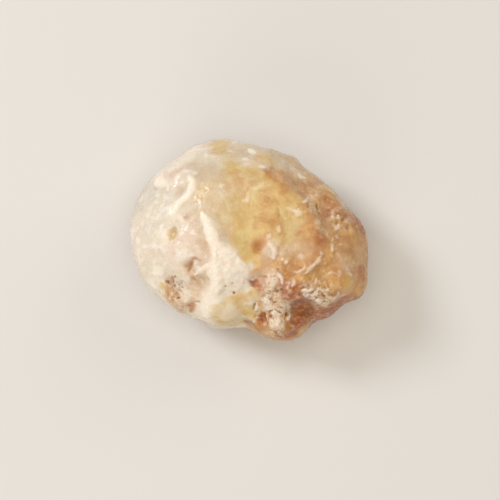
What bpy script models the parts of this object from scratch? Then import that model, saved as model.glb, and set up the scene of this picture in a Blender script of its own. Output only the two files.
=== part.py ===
"""Rough opal: one loose nodule of common opal in its pale crust, lying on a worn flat.

The object is in metres, +Z up, with its origin on the surface that it lies on, under the
middle of the stone. +X runs along its length and +Y across it. The stone is shaped in
millimetres, and the last step brings it to metres.
"""

import bisect
import math
from dataclasses import dataclass

import bmesh
import bpy
from mathutils import Vector, noise
from mathutils.bvhtree import BVHTree

# Driving dimensions, in millimetres.
LENGTH = 45.0
WIDTH = 38.2
HEIGHT = 25.0
GIRTH = 10.6  # height of the widest level above the surface that the stone lies on
WEAR = 0.75  # what the worn flat has taken off the lowest point

# The net of cells that carries the form: about one millimetre each way.
CELLS = (36, 30, 20)

# How the rounded blank fills its box: 1 is an ellipsoid, less is squarer.
FULLNESS_ACROSS = 0.84
FULLNESS_UP = 0.90
LEAN = (-0.10, 0.05)  # sideways shift of the crown for each millimetre above the girth
NOTCH_FADE = 3.0  # how fast the notches of the outline die out above and below the girth
SMOOTH_WINDOW = 26.0  # degrees either side over which the outline is evened out for the crown
SMOOTH_SAMPLES = 9
OUTLINE_STEPS = 10  # short runs that stand for the curve between two points of the outline

# The upper side's forms are laid out as they look from a point almost straight above.
SIGHT_MIDDLE = Vector((0.0, -0.25, HEIGHT / 2))  # where a form at (0, 0) is looked for
SIGHT_RISE = 80.0  # degrees above the horizontal, over the front
SIGHT_DISTANCE = 200.0

MM = 0.001

# The widest outline seen from above, anticlockwise from the right-hand end.
OUTLINE = (
    (22.6, -2.9), (22.0, 1.6), (21.0, 3.9), (19.0, 5.7), (16.9, 8.4), (13.7, 11.4),
    (11.3, 12.9), (9.6, 14.8), (6.2, 16.6), (3.3, 17.2), (-0.8, 18.3), (-5.3, 19.0),
    (-9.2, 17.9), (-14.5, 14.8), (-17.0, 13.1), (-19.1, 10.6), (-21.2, 7.4), (-22.4, 3.3),
    (-22.4, -0.7), (-21.6, -5.0), (-20.6, -7.8), (-18.7, -9.8), (-14.8, -12.9), (-11.6, -14.6),
    (-7.8, -15.6), (-5.8, -16.8), (-4.0, -16.8), (-1.8, -16.4), (0.1, -16.8), (2.0, -18.0),
    (3.9, -19.0), (6.5, -19.2), (8.8, -18.8), (10.1, -17.7), (11.1, -16.3), (12.4, -15.1),
    (14.5, -14.9), (15.8, -14.3), (17.1, -12.8), (18.6, -11.6), (19.9, -11.9), (21.7, -11.5),
    (22.5, -8.9), (22.4, -5.8),
)


@dataclass(frozen=True)
class Facet:
    """A nearly flat break: the blank is pressed back to a plane square to this direction."""

    bearing: float  # degrees anticlockwise from +X, seen from above
    rise: float  # degrees above the horizontal
    cut: float  # depth below the blank's furthest point that way
    soft: float  # how far the rounding of its edge reaches


FACETS = (
    Facet(bearing=-50, rise=81, cut=1.3, soft=1.2),  # the window of clear honey opal on the crown
    Facet(bearing=98, rise=48, cut=1.7, soft=0.7),  # the sloping band behind the window
    Facet(bearing=172, rise=52, cut=1.3, soft=1.5),  # the crusted left cheek
    Facet(bearing=228, rise=46, cut=1.5, soft=1.2),  # the pitted lower left slope
    Facet(bearing=268, rise=50, cut=1.2, soft=1.2),  # the front slope
    Facet(bearing=12, rise=44, cut=1.6, soft=1.0),  # the right-hand slope
    Facet(bearing=48, rise=38, cut=1.0, soft=0.9),  # the shoulder at the back right
    Facet(bearing=128, rise=12, cut=0.5, soft=0.8),  # the straight edge at the back left
    Facet(bearing=200, rise=-38, cut=1.8, soft=1.4),  # under the left end
    Facet(bearing=320, rise=-42, cut=2.2, soft=1.2),  # the undercut at the front right
    Facet(bearing=75, rise=-40, cut=1.7, soft=1.0),  # under the back
    Facet(bearing=130, rise=-50, cut=1.2, soft=0.8),
    Facet(bearing=262, rise=-40, cut=1.4, soft=1.0),
    Facet(bearing=15, rise=-45, cut=1.4, soft=1.2),
)


@dataclass(frozen=True)
class Scoop:
    """A shell-shaped break, as glassy opal chips: a round bowl with a crisp edge."""

    name: str
    spot: tuple  # where its middle lies: see Form
    radius: float  # of the ball that fits in it
    depth: float
    side: str = "top"


SCOOPS = (
    Scoop("window", (0.6, 6.6), 26.0, 0.95),
    Scoop("window foot", (0.2, -0.4), 9.0, 0.55),
    Scoop("basin", (8.6, 3.4), 12.0, 0.75),
    Scoop("back hollow", (10.2, 9.6), 9.0, 0.7),
    Scoop("back chip", (0.0, 16.0), 4.5, 0.5),
    Scoop("fan hollow", (9.8, -13.2), 4.2, 1.5),
    Scoop("right flake", (15.6, -6.4), 9.0, 0.6),
    Scoop("front notch", (-0.6, -15.4), 3.6, 0.7),
    Scoop("cheek flake", (-16.6, 9.2), 12.0, 0.5),
    Scoop("front flake", (282, 6.0), 9.0, 1.1, "flank"),
    Scoop("front left flake", (236, 7.4), 13.0, 0.9, "flank"),
    Scoop("back flake", (98, 7.0), 10.0, 1.2, "flank"),
    Scoop("back left flake", (140, 8.4), 14.0, 0.8, "flank"),
    Scoop("right flake below", (346, 6.0), 8.0, 0.9, "flank"),
    Scoop("left flake below", (186, 5.0), 11.0, 0.8, "flank"),
    Scoop("under flake", (13.4, 3.0), 11.0, 0.9, "under"),
)
SCOOP_EDGE = 0.12  # how far a scoop's edge is rounded
SCOOP_FADE = 0.7  # how far outside the scoop that rounding is still felt


@dataclass(frozen=True)
class Form:
    """A ridge, lump, hollow or pit, drawn through spots on the stone's surface.

    A spot is (right, up) as it looks from the point of sight on the upper side, (x, y) on
    the underside, or (bearing, height) on the flank, as side says. lift is its height in
    the middle, negative where it is sunk, and reach is the distance from its line at which
    it has faded away.
    """

    name: str
    spots: tuple
    reach: float
    lift: float
    side: str = "top"


FORMS = (
    # The crust's ridges, on the left and down the middle.
    Form("cream spine", ((-8.7, 5.2), (-7.8, 2.9), (-7.0, 0.3), (-6.7, -2.4), (-6.3, -5.4),
                         (-6.3, -8.6), (-6.7, -11.8), (-7.8, -14.5)), 2.3, 0.75),
    Form("spine fork", ((-7.0, 0.3), (-5.1, -0.7), (-3.3, -2.4), (-2.1, -3.9)), 1.9, 0.45),
    Form("winding vein", ((-11.0, 11.8), (-11.0, 9.9), (-11.6, 8.4), (-12.7, 7.4), (-14.2, 6.7),
                          (-14.8, 5.2), (-15.3, 3.3), (-16.3, 1.4), (-16.8, -1.1)), 1.7, 0.5),
    Form("slanting fold", ((-7.4, -4.1), (-9.7, -5.8), (-11.6, -7.7)), 1.5, 0.5),
    Form("cheek swell", ((-18.0, 4.5), (-18.6, -3.5)), 4.5, 0.4),
    Form("band lip", ((-9.6, 15.2), (-5.0, 15.0), (-0.5, 14.6), (3.6, 13.8)), 1.6, 0.4),
    # Hollows between them.
    Form("left gully", ((-11.0, 2.2), (-10.2, -1.6)), 4.2, -0.8),
    Form("lower gully", ((-9.4, -8.2), (-10.2, -11.4)), 3.2, -0.7),
    # The rough ground of matrix at the front right.
    Form("pale lump", ((4.2, -1.2), (5.2, -2.6)), 2.4, 0.6),
    Form("right crest", ((13.3, -3.1), (11.8, -4.6), (10.3, -6.2), (9.3, -7.6)), 1.7, 0.55),
    Form("ruffled shelf", ((8.6, -8.5), (10.7, -9.6), (13.0, -10.2), (14.8, -10.9),
                           (16.8, -11.2)), 2.2, 0.7),
    Form("middle knuckle", ((4.4, -7.6), (6.0, -8.6), (6.6, -10.4)), 2.2, 0.6),
    Form("knob", ((4.6, -15.4), (6.2, -16.6)), 3.6, 0.8),
    Form("knob crown", ((5.2, -13.2), (5.6, -15.6)), 2.2, 0.6),
    Form("yellow bulge", ((-4.4, -12.6), (-4.6, -14.4)), 3.6, 0.7),
    Form("right cheek", ((18.0, -3.0), (17.8, -7.0)), 4.2, 0.6),
    Form("corner bulge", ((17.6, -9.0),), 2.8, 0.5),
    Form("rust shoulder", ((16.6, 5.6), (18.6, 2.8)), 3.2, 0.5),
    Form("shoulder dip", ((13.6, 5.6), (15.4, 2.6)), 2.4, -0.6),
    # Pits.
    Form("oval pit", ((-14.4, 1.7), (-14.8, 0.0)), 1.6, -1.0),
    Form("dimple", ((1.5, -0.9),), 1.9, -1.0),
    Form("rust cleft", ((-11.0, -3.7), (-11.8, -5.4)), 1.5, -0.9),
    Form("nest of holes", ((-15.4, -7.6), (-13.6, -8.6), (-13.2, -10.2)), 2.3, -0.9),
    Form("small pit", ((-11.9, 4.0),), 1.3, -0.7),
    Form("three-cornered pit", ((0.6, -7.9), (2.8, -7.2)), 1.6, -0.9),
    Form("brown cup", ((2.4, -13.8),), 2.0, -1.0),
    Form("edge crack", ((-10.6, -12.2), (-11.8, -13.4)), 1.4, -0.6),
    Form("rim pit", ((7.2, -13.2),), 1.4, -0.6),
    # The flanks.
    Form("left flank seam", ((150, 9.0), (166, 7.0), (184, 8.5), (200, 6.5)), 1.9, 0.6, "flank"),
    Form("left flank pit", ((176, 5.5),), 1.9, -0.9, "flank"),
    Form("back flank ridge", ((60, 12.5), (76, 9.5), (88, 6.0)), 1.8, 0.7, "flank"),
    Form("back flank pit", ((118, 9.5),), 1.8, -0.8, "flank"),
    Form("right flank ridge", ((20, 9.0), (6, 10.5), (354, 10.0)), 1.7, 0.6, "flank"),
    Form("right flank dip", ((14, 6.0), (2, 5.0)), 2.6, -0.7, "flank"),
    Form("front flank ridge", ((246, 9.5), (256, 6.0), (270, 3.5)), 1.9, 0.7, "flank"),
    Form("front flank pit", ((228, 6.5),), 2.0, -0.8, "flank"),
    Form("undercut", ((300, 6.5), (318, 6.0), (330, 7.0)), 3.2, -0.9, "flank"),
    # The underside.
    Form("under ridge", ((-11.0, 8.5), (-13.0, 3.5), (-12.2, -3.5)), 1.9, 0.6, "under"),
    Form("under pit", ((-14.6, -1.0),), 1.7, -0.9, "under"),
    Form("under pits", ((3.6, 11.6), (5.4, 11.0)), 1.7, -0.8, "under"),
)

# Rough ground: where the crust is crumbly, small lumps stand on the surface.
LUMPY_GROUND = (
    Form("matrix", ((5.0, -9.0), (7.5, -15.0), (14.0, -11.0)), 6.0, 1.0),
    Form("shoulder", ((16.5, 5.5), (19.5, 1.5)), 4.4, 0.9),
    Form("lower left", ((-14.5, -8.5), (-11.0, -13.0)), 4.6, 0.9),
    Form("under the corner", ((300, 5.0), (328, 6.0)), 6.0, 1.0, "flank"),
    Form("back", ((104, 6.0), (84, 7.5)), 5.0, 0.7, "flank"),
    Form("under the left end", ((-13.0, 0.0),), 5.5, 0.7, "under"),
)
LUMP_HEIGHT = 0.42
LUMP_SIZE = 2.3
LUMP_SEED = 5.3
SWELL_HEIGHT = 0.45  # the slow rise and fall of the whole skin
SWELL_SIZE = 8.5
SWELL_SEED = 3.1
SKIN_HEIGHT = 0.16  # the smaller waves on it
SKIN_SIZE = 3.4
SKIN_SEED = 7.7

EASE = 0.35  # how far the finished relief is relaxed, so that no cell folds over its neighbour
EASE_PASSES = 3

OPAL_COLOUR = (0.753, 0.578, 0.352, 1.0)  # linear, a warm cream
OPAL_ROUGHNESS = 0.42
OPAL_IOR = 1.45


def spline(points, steps):
    """A smooth closed line through the points, with this many steps in each span."""
    count = len(points)
    line = []
    for i in range(count):
        before, start, end, after = (Vector(points[(i + k) % count]) for k in (-1, 0, 1, 2))
        for step in range(steps):
            t = step / steps
            line.append(
                0.5 * (2 * start + (end - before) * t
                       + (2 * before - 5 * start + 4 * end - after) * t**2
                       + (3 * start - before - 3 * end + after) * t**3)
            )
    return line


class Outline:
    """The stone's outline seen from above, as a distance from the middle at each bearing."""

    def __init__(self, points):
        line = spline(points, OUTLINE_STEPS)
        polar = sorted((math.degrees(math.atan2(p.y, p.x)), p.length) for p in line)
        first, last = polar[0], polar[-1]
        polar = [(last[0] - 360, last[1]), *polar, (first[0] + 360, first[1])]
        self.bearings = [bearing for bearing, _ in polar]
        self.reaches = [reach for _, reach in polar]

    def reach(self, bearing):
        """The distance out to the line at a bearing in degrees."""
        bearing = (bearing + 180) % 360 - 180
        i = max(1, bisect.bisect_left(self.bearings, bearing))
        low, high = self.bearings[i - 1], self.bearings[i]
        share = (bearing - low) / (high - low)
        return self.reaches[i - 1] * (1 - share) + self.reaches[i] * share

    def evened(self, bearing):
        """The same distance, evened out over a window either side."""
        turns = (SMOOTH_WINDOW * (2 * k / (SMOOTH_SAMPLES - 1) - 1) for k in range(SMOOTH_SAMPLES))
        return sum(self.reach(bearing + turn) for turn in turns) / SMOOTH_SAMPLES


def net():
    """A cube cut into cells that are equal in angle, blown up to a sphere of radius 1."""
    bm = bmesh.new()
    bmesh.ops.create_cube(bm, size=2.0)
    for axis, cells in enumerate(CELLS):
        normal = Vector(float(axis == k) for k in range(3))
        for cell in range(1, cells):
            place = math.tan(math.pi / 4 * (2 * cell / cells - 1))
            bmesh.ops.bisect_plane(
                bm, geom=bm.verts[:] + bm.edges[:] + bm.faces[:], plane_co=normal * place, plane_no=normal
            )
    for vert in bm.verts:
        vert.co.normalize()
    return bm


def blank_point(direction, outline):
    """Where the rounded blank lies in a direction from its middle."""
    bearing = math.degrees(math.atan2(direction.y, direction.x))
    across = math.hypot(direction.x, direction.y)
    even = outline.evened(bearing)
    reach = even + (outline.reach(bearing) - even) * across**NOTCH_FADE
    depth = HEIGHT - GIRTH if direction.z > 0 else GIRTH + WEAR
    lift = math.copysign(abs(direction.z) ** FULLNESS_UP * depth, direction.z)
    out = reach * across**FULLNESS_ACROSS
    turn = math.radians(bearing)
    lean = max(lift, 0.0)
    return Vector((
        out * math.cos(turn) + LEAN[0] * lean,
        out * math.sin(turn) + LEAN[1] * lean,
        GIRTH + lift,
    ))


def direction_of(bearing, rise):
    """The unit vector at a bearing and a rise, both in degrees."""
    turn, tilt = math.radians(bearing), math.radians(rise)
    return Vector((math.cos(turn) * math.cos(tilt), math.sin(turn) * math.cos(tilt), math.sin(tilt)))


def eased(over, soft):
    """An overshoot if it is positive and nothing if it is negative, with an easy turn between."""
    return (over + math.hypot(over, soft)) / 2


def press(bm, facet):
    """Presses the form back to one facet's plane, with a rounded edge."""
    normal = direction_of(facet.bearing, facet.rise)
    limit = max(vert.co @ normal for vert in bm.verts) - facet.cut
    for vert in bm.verts:
        vert.co -= normal * eased(vert.co @ normal - limit, facet.soft)


def surface_hit(tree, spot, side):
    """The point of the surface that a spot names, and the normal there."""
    if side == "top":
        right, up = spot
        back = direction_of(-90, SIGHT_RISE)
        start = SIGHT_MIDDLE + back * SIGHT_DISTANCE
        aim = SIGHT_MIDDLE + Vector((right, 0, 0)) + direction_of(90, 90 - SIGHT_RISE) * up - start
    elif side == "flank":
        bearing, height = spot
        start = direction_of(bearing, 0) * LENGTH + Vector((0, 0, height))
        aim = -direction_of(bearing, 0)
    else:
        start = Vector((*spot, -HEIGHT))
        aim = Vector((0, 0, 1))
    return tree.ray_cast(start, aim)[:2]


def scoop(bm, tree, cut):
    """Pushes the form inwards out of the ball that fits in one scoop."""
    middle, normal = surface_hit(tree, cut.spot, cut.side)
    ball = middle + normal * (cut.radius - cut.depth)
    for vert in bm.verts:
        away = vert.co - ball
        if away.length < cut.radius + SCOOP_FADE:
            vert.co += away.normalized() * eased(cut.radius - away.length, SCOOP_EDGE)


def line_distance(point, line):
    """The distance from a point to a line of straight runs, or to its only point."""
    best = min((point - corner).length for corner in line)
    for start, end in zip(line, line[1:]):
        run = end - start
        share = min(1.0, max(0.0, (point - start) @ run / run.length_squared))
        best = min(best, (point - start - run * share).length)
    return best


def strength(point, line, reach):
    """How much of a form is felt at a point: 1 on its line, 0 from its reach outwards."""
    away = line_distance(point, line) / reach
    return (1 - away**2) ** 2 if away < 1 else 0.0


def laid_out(forms, tree):
    """Each form with the surface points of its line."""
    return [(form, [surface_hit(tree, spot, form.side)[0] for spot in form.spots]) for form in forms]


def waves(point, size, seed):
    """Smooth noise from -1 to 1 with waves about this size."""
    return noise.noise(point / size + Vector((seed, 2.3 * seed, -1.7 * seed)))


def relief(point, form_lines, ground_lines):
    """The height of everything that stands on, or is sunk in, the pressed blank at a point."""
    height = sum(form.lift * strength(point, line, form.reach) for form, line in form_lines)
    height += SWELL_HEIGHT * waves(point, SWELL_SIZE, SWELL_SEED)
    height += SKIN_HEIGHT * waves(point, SKIN_SIZE, SKIN_SEED)
    rough = max(form.lift * strength(point, line, form.reach) for form, line in ground_lines)
    return height + rough * LUMP_HEIGHT * (1 - 2 * abs(waves(point, LUMP_SIZE, LUMP_SEED)))


def sculpt(bm):
    """Raises ridges and lumps and sinks hollows and pits along the normals, then relaxes the net."""
    bm.normal_update()
    tree = BVHTree.FromBMesh(bm)
    lines, ground = laid_out(FORMS, tree), laid_out(LUMPY_GROUND, tree)
    moves = [vert.normal * relief(vert.co, lines, ground) for vert in bm.verts]
    for vert, move in zip(bm.verts, moves):
        vert.co += move
    for _ in range(EASE_PASSES):
        bmesh.ops.smooth_vert(
            bm, verts=bm.verts, factor=EASE, use_axis_x=True, use_axis_y=True, use_axis_z=True
        )


def settle(bm):
    """Wears the lowest point to a flat at Z 0 and fits the stone to its three dimensions."""
    floor = min(vert.co.z for vert in bm.verts) + WEAR
    for vert in bm.verts:
        vert.co.z = max(vert.co.z - floor, 0.0)
    low = Vector(min(vert.co[k] for vert in bm.verts) for k in range(3))
    high = Vector(max(vert.co[k] for vert in bm.verts) for k in range(3))
    middle = (low + high) / 2
    for vert in bm.verts:
        for k, size in enumerate((LENGTH, WIDTH, HEIGHT)):
            base = 0.0 if k == 2 else middle[k]
            vert.co[k] = (vert.co[k] - base) * size / (high[k] - low[k])


def opal_material():
    """Common opal under a weathered crust: pale, waxy and not metallic."""
    material = bpy.data.materials.new("waxy_cream_opal")
    material.use_nodes = True
    shader = material.node_tree.nodes["Principled BSDF"]
    shader.inputs["Base Color"].default_value = OPAL_COLOUR
    shader.inputs["Roughness"].default_value = OPAL_ROUGHNESS
    shader.inputs["Metallic"].default_value = 0.0
    shader.inputs["IOR"].default_value = OPAL_IOR
    return material


def build_stone(collection):
    """The nodule: blank, facets, relief, worn flat."""
    outline = Outline(OUTLINE)
    bm = net()
    for vert in bm.verts:
        vert.co = blank_point(vert.co, outline)
    for facet in FACETS:
        press(bm, facet)
    bm.normal_update()
    tree = BVHTree.FromBMesh(bm)
    for cut in SCOOPS:
        scoop(bm, tree, cut)
    sculpt(bm)
    settle(bm)
    bmesh.ops.scale(bm, vec=(MM, MM, MM), verts=bm.verts)
    bmesh.ops.recalc_face_normals(bm, faces=bm.faces)
    mesh = bpy.data.meshes.new("opal_nodule")
    bm.to_mesh(mesh)
    bm.free()
    mesh.shade_smooth()
    mesh.materials.append(opal_material())
    stone = bpy.data.objects.new("opal_nodule", mesh)
    collection.objects.link(stone)
    return stone


def main():
    """Clears the scene and builds the stone in a collection of its own."""
    for obj in list(bpy.data.objects):
        bpy.data.objects.remove(obj)
    collection = bpy.data.collections.new("rough_opal")
    bpy.context.scene.collection.children.link(collection)
    build_stone(collection)


if __name__ == "__main__":
    main()
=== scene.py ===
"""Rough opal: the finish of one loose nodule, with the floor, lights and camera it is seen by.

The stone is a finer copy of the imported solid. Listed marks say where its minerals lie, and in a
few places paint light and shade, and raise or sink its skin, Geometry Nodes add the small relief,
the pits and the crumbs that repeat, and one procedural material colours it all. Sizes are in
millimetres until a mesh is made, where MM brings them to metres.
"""

import logging
import math
from collections.abc import Iterable
from dataclasses import dataclass, field
from enum import Enum
from typing import ClassVar

import bmesh
import bpy
import numpy as np
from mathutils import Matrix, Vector, noise
from mathutils.bvhtree import BVHTree


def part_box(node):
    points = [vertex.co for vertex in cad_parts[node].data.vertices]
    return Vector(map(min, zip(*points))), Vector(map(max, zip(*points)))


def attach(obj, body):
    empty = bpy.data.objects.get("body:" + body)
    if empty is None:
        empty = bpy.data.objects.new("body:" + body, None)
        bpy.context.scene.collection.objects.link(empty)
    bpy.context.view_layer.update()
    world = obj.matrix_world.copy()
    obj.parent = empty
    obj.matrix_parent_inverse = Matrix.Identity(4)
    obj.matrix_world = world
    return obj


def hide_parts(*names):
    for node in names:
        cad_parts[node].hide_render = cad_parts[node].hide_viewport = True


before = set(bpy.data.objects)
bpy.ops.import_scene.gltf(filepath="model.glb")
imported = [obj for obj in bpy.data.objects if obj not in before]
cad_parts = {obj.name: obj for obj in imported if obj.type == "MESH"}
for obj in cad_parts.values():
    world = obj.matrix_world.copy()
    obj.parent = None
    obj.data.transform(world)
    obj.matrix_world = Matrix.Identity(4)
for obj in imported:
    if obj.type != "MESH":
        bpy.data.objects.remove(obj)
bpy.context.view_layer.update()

LOG = logging.getLogger("rough_opal")
MM = 0.001
NODE = "opal_nodule"
NOISE_SEED = 2
HALF = (0.5, 0.5, 0.5)  # the middle of a noise colour
TURN = (6.28, 6.28, 6.28)  # all the way round each axis, in radians
TINY = 1e-9  # keeps a line of one spot from dividing by nothing

# The kinds of node and settings that come up most. A range node takes a value, where it
# starts and ends, and what it has there.
MATH, VECTOR, RANGE = "ShaderNodeMath", "ShaderNodeVectorMath", "ShaderNodeMapRange"
MIX, NOISE, RANDOM = "ShaderNodeMix", "ShaderNodeTexNoise", "FunctionNodeRandomValue"
KEPT, STORE = "GeometryNodeInputNamedAttribute", "GeometryNodeStoreNamedAttribute"
MOVE = "GeometryNodeSetPosition"
SMOOTH, COLOURS = {"interpolation_type": "SMOOTHSTEP"}, {"data_type": "RGBA"}
Sockets = bpy.types.bpy_prop_collection
Value = bpy.types.Node | bpy.types.NodeSocket
Sizes = dict[str, float | int]


# ---------------------------------------------------------------------------------------
# Small tools for colours, node trees and meshes


def linear(hex_colour: str, alpha: float = 1.0) -> tuple[float, float, float, float]:
    """Turns an sRGB hex colour into linear RGBA.

    Args:
        hex_colour: six hex digits after a hash, such as "#E8D5B5".
        alpha: the fourth value.

    Returns:
        Red, green, blue and alpha, linear, from 0 to 1.
    """
    parts = (int(hex_colour[k : k + 2], 16) / 255 for k in (1, 3, 5))
    return (*(c / 12.92 if c <= 0.04045 else ((c + 0.055) / 1.055) ** 2.4 for c in parts), alpha)


def add(
    tree: bpy.types.NodeTree, kind: str, inputs: tuple | dict = (), **settings: object
) -> bpy.types.Node:
    """Adds a node, sets its properties and fills its inputs.

    Args:
        tree: the shader or geometry tree to add to.
        kind: the node's type, such as "ShaderNodeMath".
        inputs: values, sockets, or nodes whose first shown output is linked, in the order of
            the node's inputs or as a dict from their names or indices.
        settings: the node's properties.

    Returns:
        The new node.
    """
    node = tree.nodes.new(kind)
    for name, value in settings.items():
        setattr(node, name, value)
    for key, value in inputs.items() if isinstance(inputs, dict) else enumerate(inputs):
        socket = node.inputs[key] if isinstance(key, int) else shown(node.inputs, key)
        if isinstance(value, bpy.types.Node):
            value = shown(value.outputs)
        if isinstance(value, bpy.types.NodeSocket):
            tree.links.new(value, socket)
        else:
            socket.default_value = value
    return node


def shown(sockets: Iterable[bpy.types.NodeSocket], name: str | None = None) -> bpy.types.NodeSocket:
    """The first socket that the node's present settings show, of this name if one is given."""
    return next(s for s in sockets if s.enabled and name in (None, s.name))


def wander(
    tree: bpy.types.NodeTree, spot: Value, scale: float, reach: float
) -> tuple[bpy.types.Node, bpy.types.Node]:
    """Bends space gently, so that no pattern runs straight.

    Args:
        tree: the tree to add to.
        spot: the point in metres.
        scale: how many bends there are in a millimetre.
        reach: how far they go, in millimetres.

    Returns:
        The nodes with the point in millimetres and with the bent point.
    """
    flat = add(tree, VECTOR, {0: spot, "Scale": 1 / MM}, operation="SCALE")
    bend = add(tree, NOISE, {"Vector": flat, "Scale": scale, "Detail": 2.0}).outputs["Color"]
    bend = add(tree, VECTOR, (bend, HALF), operation="SUBTRACT")
    return flat, add(tree, VECTOR, (bend, (reach, reach, reach), flat), operation="MULTIPLY_ADD")


def geometry_tree(name: str, sizes: Sizes) -> tuple[bpy.types.NodeTree, Sockets]:
    """Starts a Geometry Nodes tree with a named input for each size.

    Args:
        name: the tree's name.
        sizes: input name to default; a whole number makes an integer input.

    Returns:
        The tree and its inputs, as sockets to link from.
    """
    tree = bpy.data.node_groups.new(name, "GeometryNodeTree")
    tree.interface.new_socket("Stone", in_out="INPUT", socket_type="NodeSocketGeometry")
    for size, default in sizes.items():
        kind = "NodeSocketInt" if isinstance(default, int) else "NodeSocketFloat"
        tree.interface.new_socket(size, in_out="INPUT", socket_type=kind).default_value = default
    tree.interface.new_socket("Result", in_out="OUTPUT", socket_type="NodeSocketGeometry")
    return tree, tree.nodes.new("NodeGroupInput").outputs


def close_tree(
    tree: bpy.types.NodeTree, made: Value, material: bpy.types.Material
) -> bpy.types.NodeTree:
    """Ends a tree: makes what it placed real, gives it its material and hands it on.

    Args:
        tree: the tree.
        made: its last node.
        material: what the result is made of.

    Returns:
        The same tree.
    """
    real = add(tree, "GeometryNodeRealizeInstances", (made,))
    dressed = add(tree, "GeometryNodeSetMaterial", {"Geometry": real, "Material": material})
    add(tree, "NodeGroupOutput", (dressed,))
    return tree


def grown(obj: bpy.types.Object, tree: bpy.types.NodeTree, sizes: Sizes) -> bpy.types.Mesh:
    """Runs a tree on an object, leaving no modifier behind.

    Args:
        obj: the object to run it on.
        tree: the Geometry Nodes tree.
        sizes: what its inputs are given.

    Returns:
        What the tree makes, as a plain mesh.
    """
    modifier = obj.modifiers.new(tree.name, "NODES")
    modifier.node_group = tree
    for item in tree.interface.items_tree:
        if item.in_out == "INPUT" and item.name in sizes:
            modifier[item.identifier] = sizes[item.name]
    mesh = evaluated(obj)
    obj.modifiers.remove(modifier)
    return mesh


def evaluated(obj: bpy.types.Object) -> bpy.types.Mesh:
    """A new mesh of the object as its modifiers leave it."""
    graph = bpy.context.evaluated_depsgraph_get()
    return bpy.data.meshes.new_from_object(obj.evaluated_get(graph), depsgraph=graph)


def placed(name: str, data: bpy.types.ID) -> bpy.types.Object:
    """Puts a new object at the origin of the scene.

    Args:
        name: its name.
        data: its mesh, light or camera.

    Returns:
        The object.
    """
    made = bpy.data.objects.new(name, data)
    bpy.context.scene.collection.objects.link(made)
    return made


def mesh_of(name: str, bm: bmesh.types.BMesh) -> bpy.types.Mesh:
    """Turns a finished BMesh, which is freed, into a mesh.

    Args:
        name: the mesh's name.
        bm: the BMesh.

    Returns:
        The mesh.
    """
    mesh = bpy.data.meshes.new(name)
    bm.to_mesh(mesh)
    bm.free()
    return mesh


def rows_of(mesh: bpy.types.Mesh, name: str) -> np.ndarray:
    """Reads a vector of each of the mesh's points.

    Args:
        mesh: the mesh.
        name: the vector's name, such as "co" or "normal".

    Returns:
        One row for each point.
    """
    flat = np.empty(len(mesh.vertices) * 3)
    mesh.vertices.foreach_get(name, flat)
    return flat.reshape(-1, 3)


def points_of(mesh: bpy.types.Mesh) -> np.ndarray:
    """The mesh's points in millimetres, one row each."""
    return rows_of(mesh, "co") / MM


def put_points(mesh: bpy.types.Mesh, points: np.ndarray) -> None:
    """Moves the mesh's points to these places in millimetres."""
    mesh.vertices.foreach_set("co", (points * MM).ravel())
    mesh.update()


def store(mesh: bpy.types.Mesh, name: str, values: np.ndarray) -> None:
    """Keeps one number for each point of the mesh as a named attribute."""
    attribute = mesh.attributes.get(name) or mesh.attributes.new(name, "FLOAT", "POINT")
    attribute.data.foreach_set("value", values.astype(np.float32))


def swell(points: np.ndarray, size: float, shift: float) -> np.ndarray:
    """Smooth noise over the points, the same on every run.

    Args:
        points: the points, in millimetres.
        size: the size of its waves, in millimetres.
        shift: which stretch of the noise is used.

    Returns:
        A vector from about -1 to 1 for each point, one row each.
    """
    noise.seed_set(NOISE_SEED)  # Blender draws new waves on every run without it
    start = Vector((shift, -2.1 * shift, 1.7 * shift))
    return np.array([noise.noise_vector(Vector(p) / size + start) for p in points])


# ---------------------------------------------------------------------------------------
# The marks on the stone


class Growth(Enum):
    """A mineral or tint that a mark lays on the milky crust; its value names the attribute."""

    BEIGE = "beige"  # thin crust over clear opal
    HONEY = "honey"  # clear yellow common opal
    AMBER = "amber"  # clear tan common opal
    OCHRE = "ochre"  # limonite in the clear opal
    BLUSH = "blush"  # iron-tinged crust, in one stroke also painted shade
    RUST = "rust"  # iron-stained matrix, and in two strokes painted shade
    ASH = "ash"  # grey chalcedony
    UMBER = "umber"  # dirt in pits and cracks, and in a few strokes painted shade
    CHALK = "chalk"  # opaque white opal, and in a few strokes painted light
    GRIT = "grit"  # crumbly ground, whatever its colour


class Side(Enum):
    """The side of the stone that a mark's spots are laid out on."""

    TOP = "top"  # (right, up) as it looks from the point of sight
    FLANK = "flank"  # (bearing in degrees, height)
    UNDER = "under"  # (x, y)


BEIGE, HONEY, AMBER, OCHRE, BLUSH, RUST, ASH, UMBER, CHALK, GRIT = Growth
TOP, FLANK, UNDER = Side
Spot = tuple[float, float]


@dataclass(frozen=True)
class Mark:
    """One stroke of a growth along spots on the stone, fading away at its reach."""

    side: Side
    growth: Growth
    reach: float
    strength: float
    lift: float
    spots: tuple[Spot, ...]


@dataclass(frozen=True)
class Wild:
    """A growth that comes and goes by itself over the sides that no mark describes."""

    growth: Growth
    size: float
    start: float
    strength: float


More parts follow.
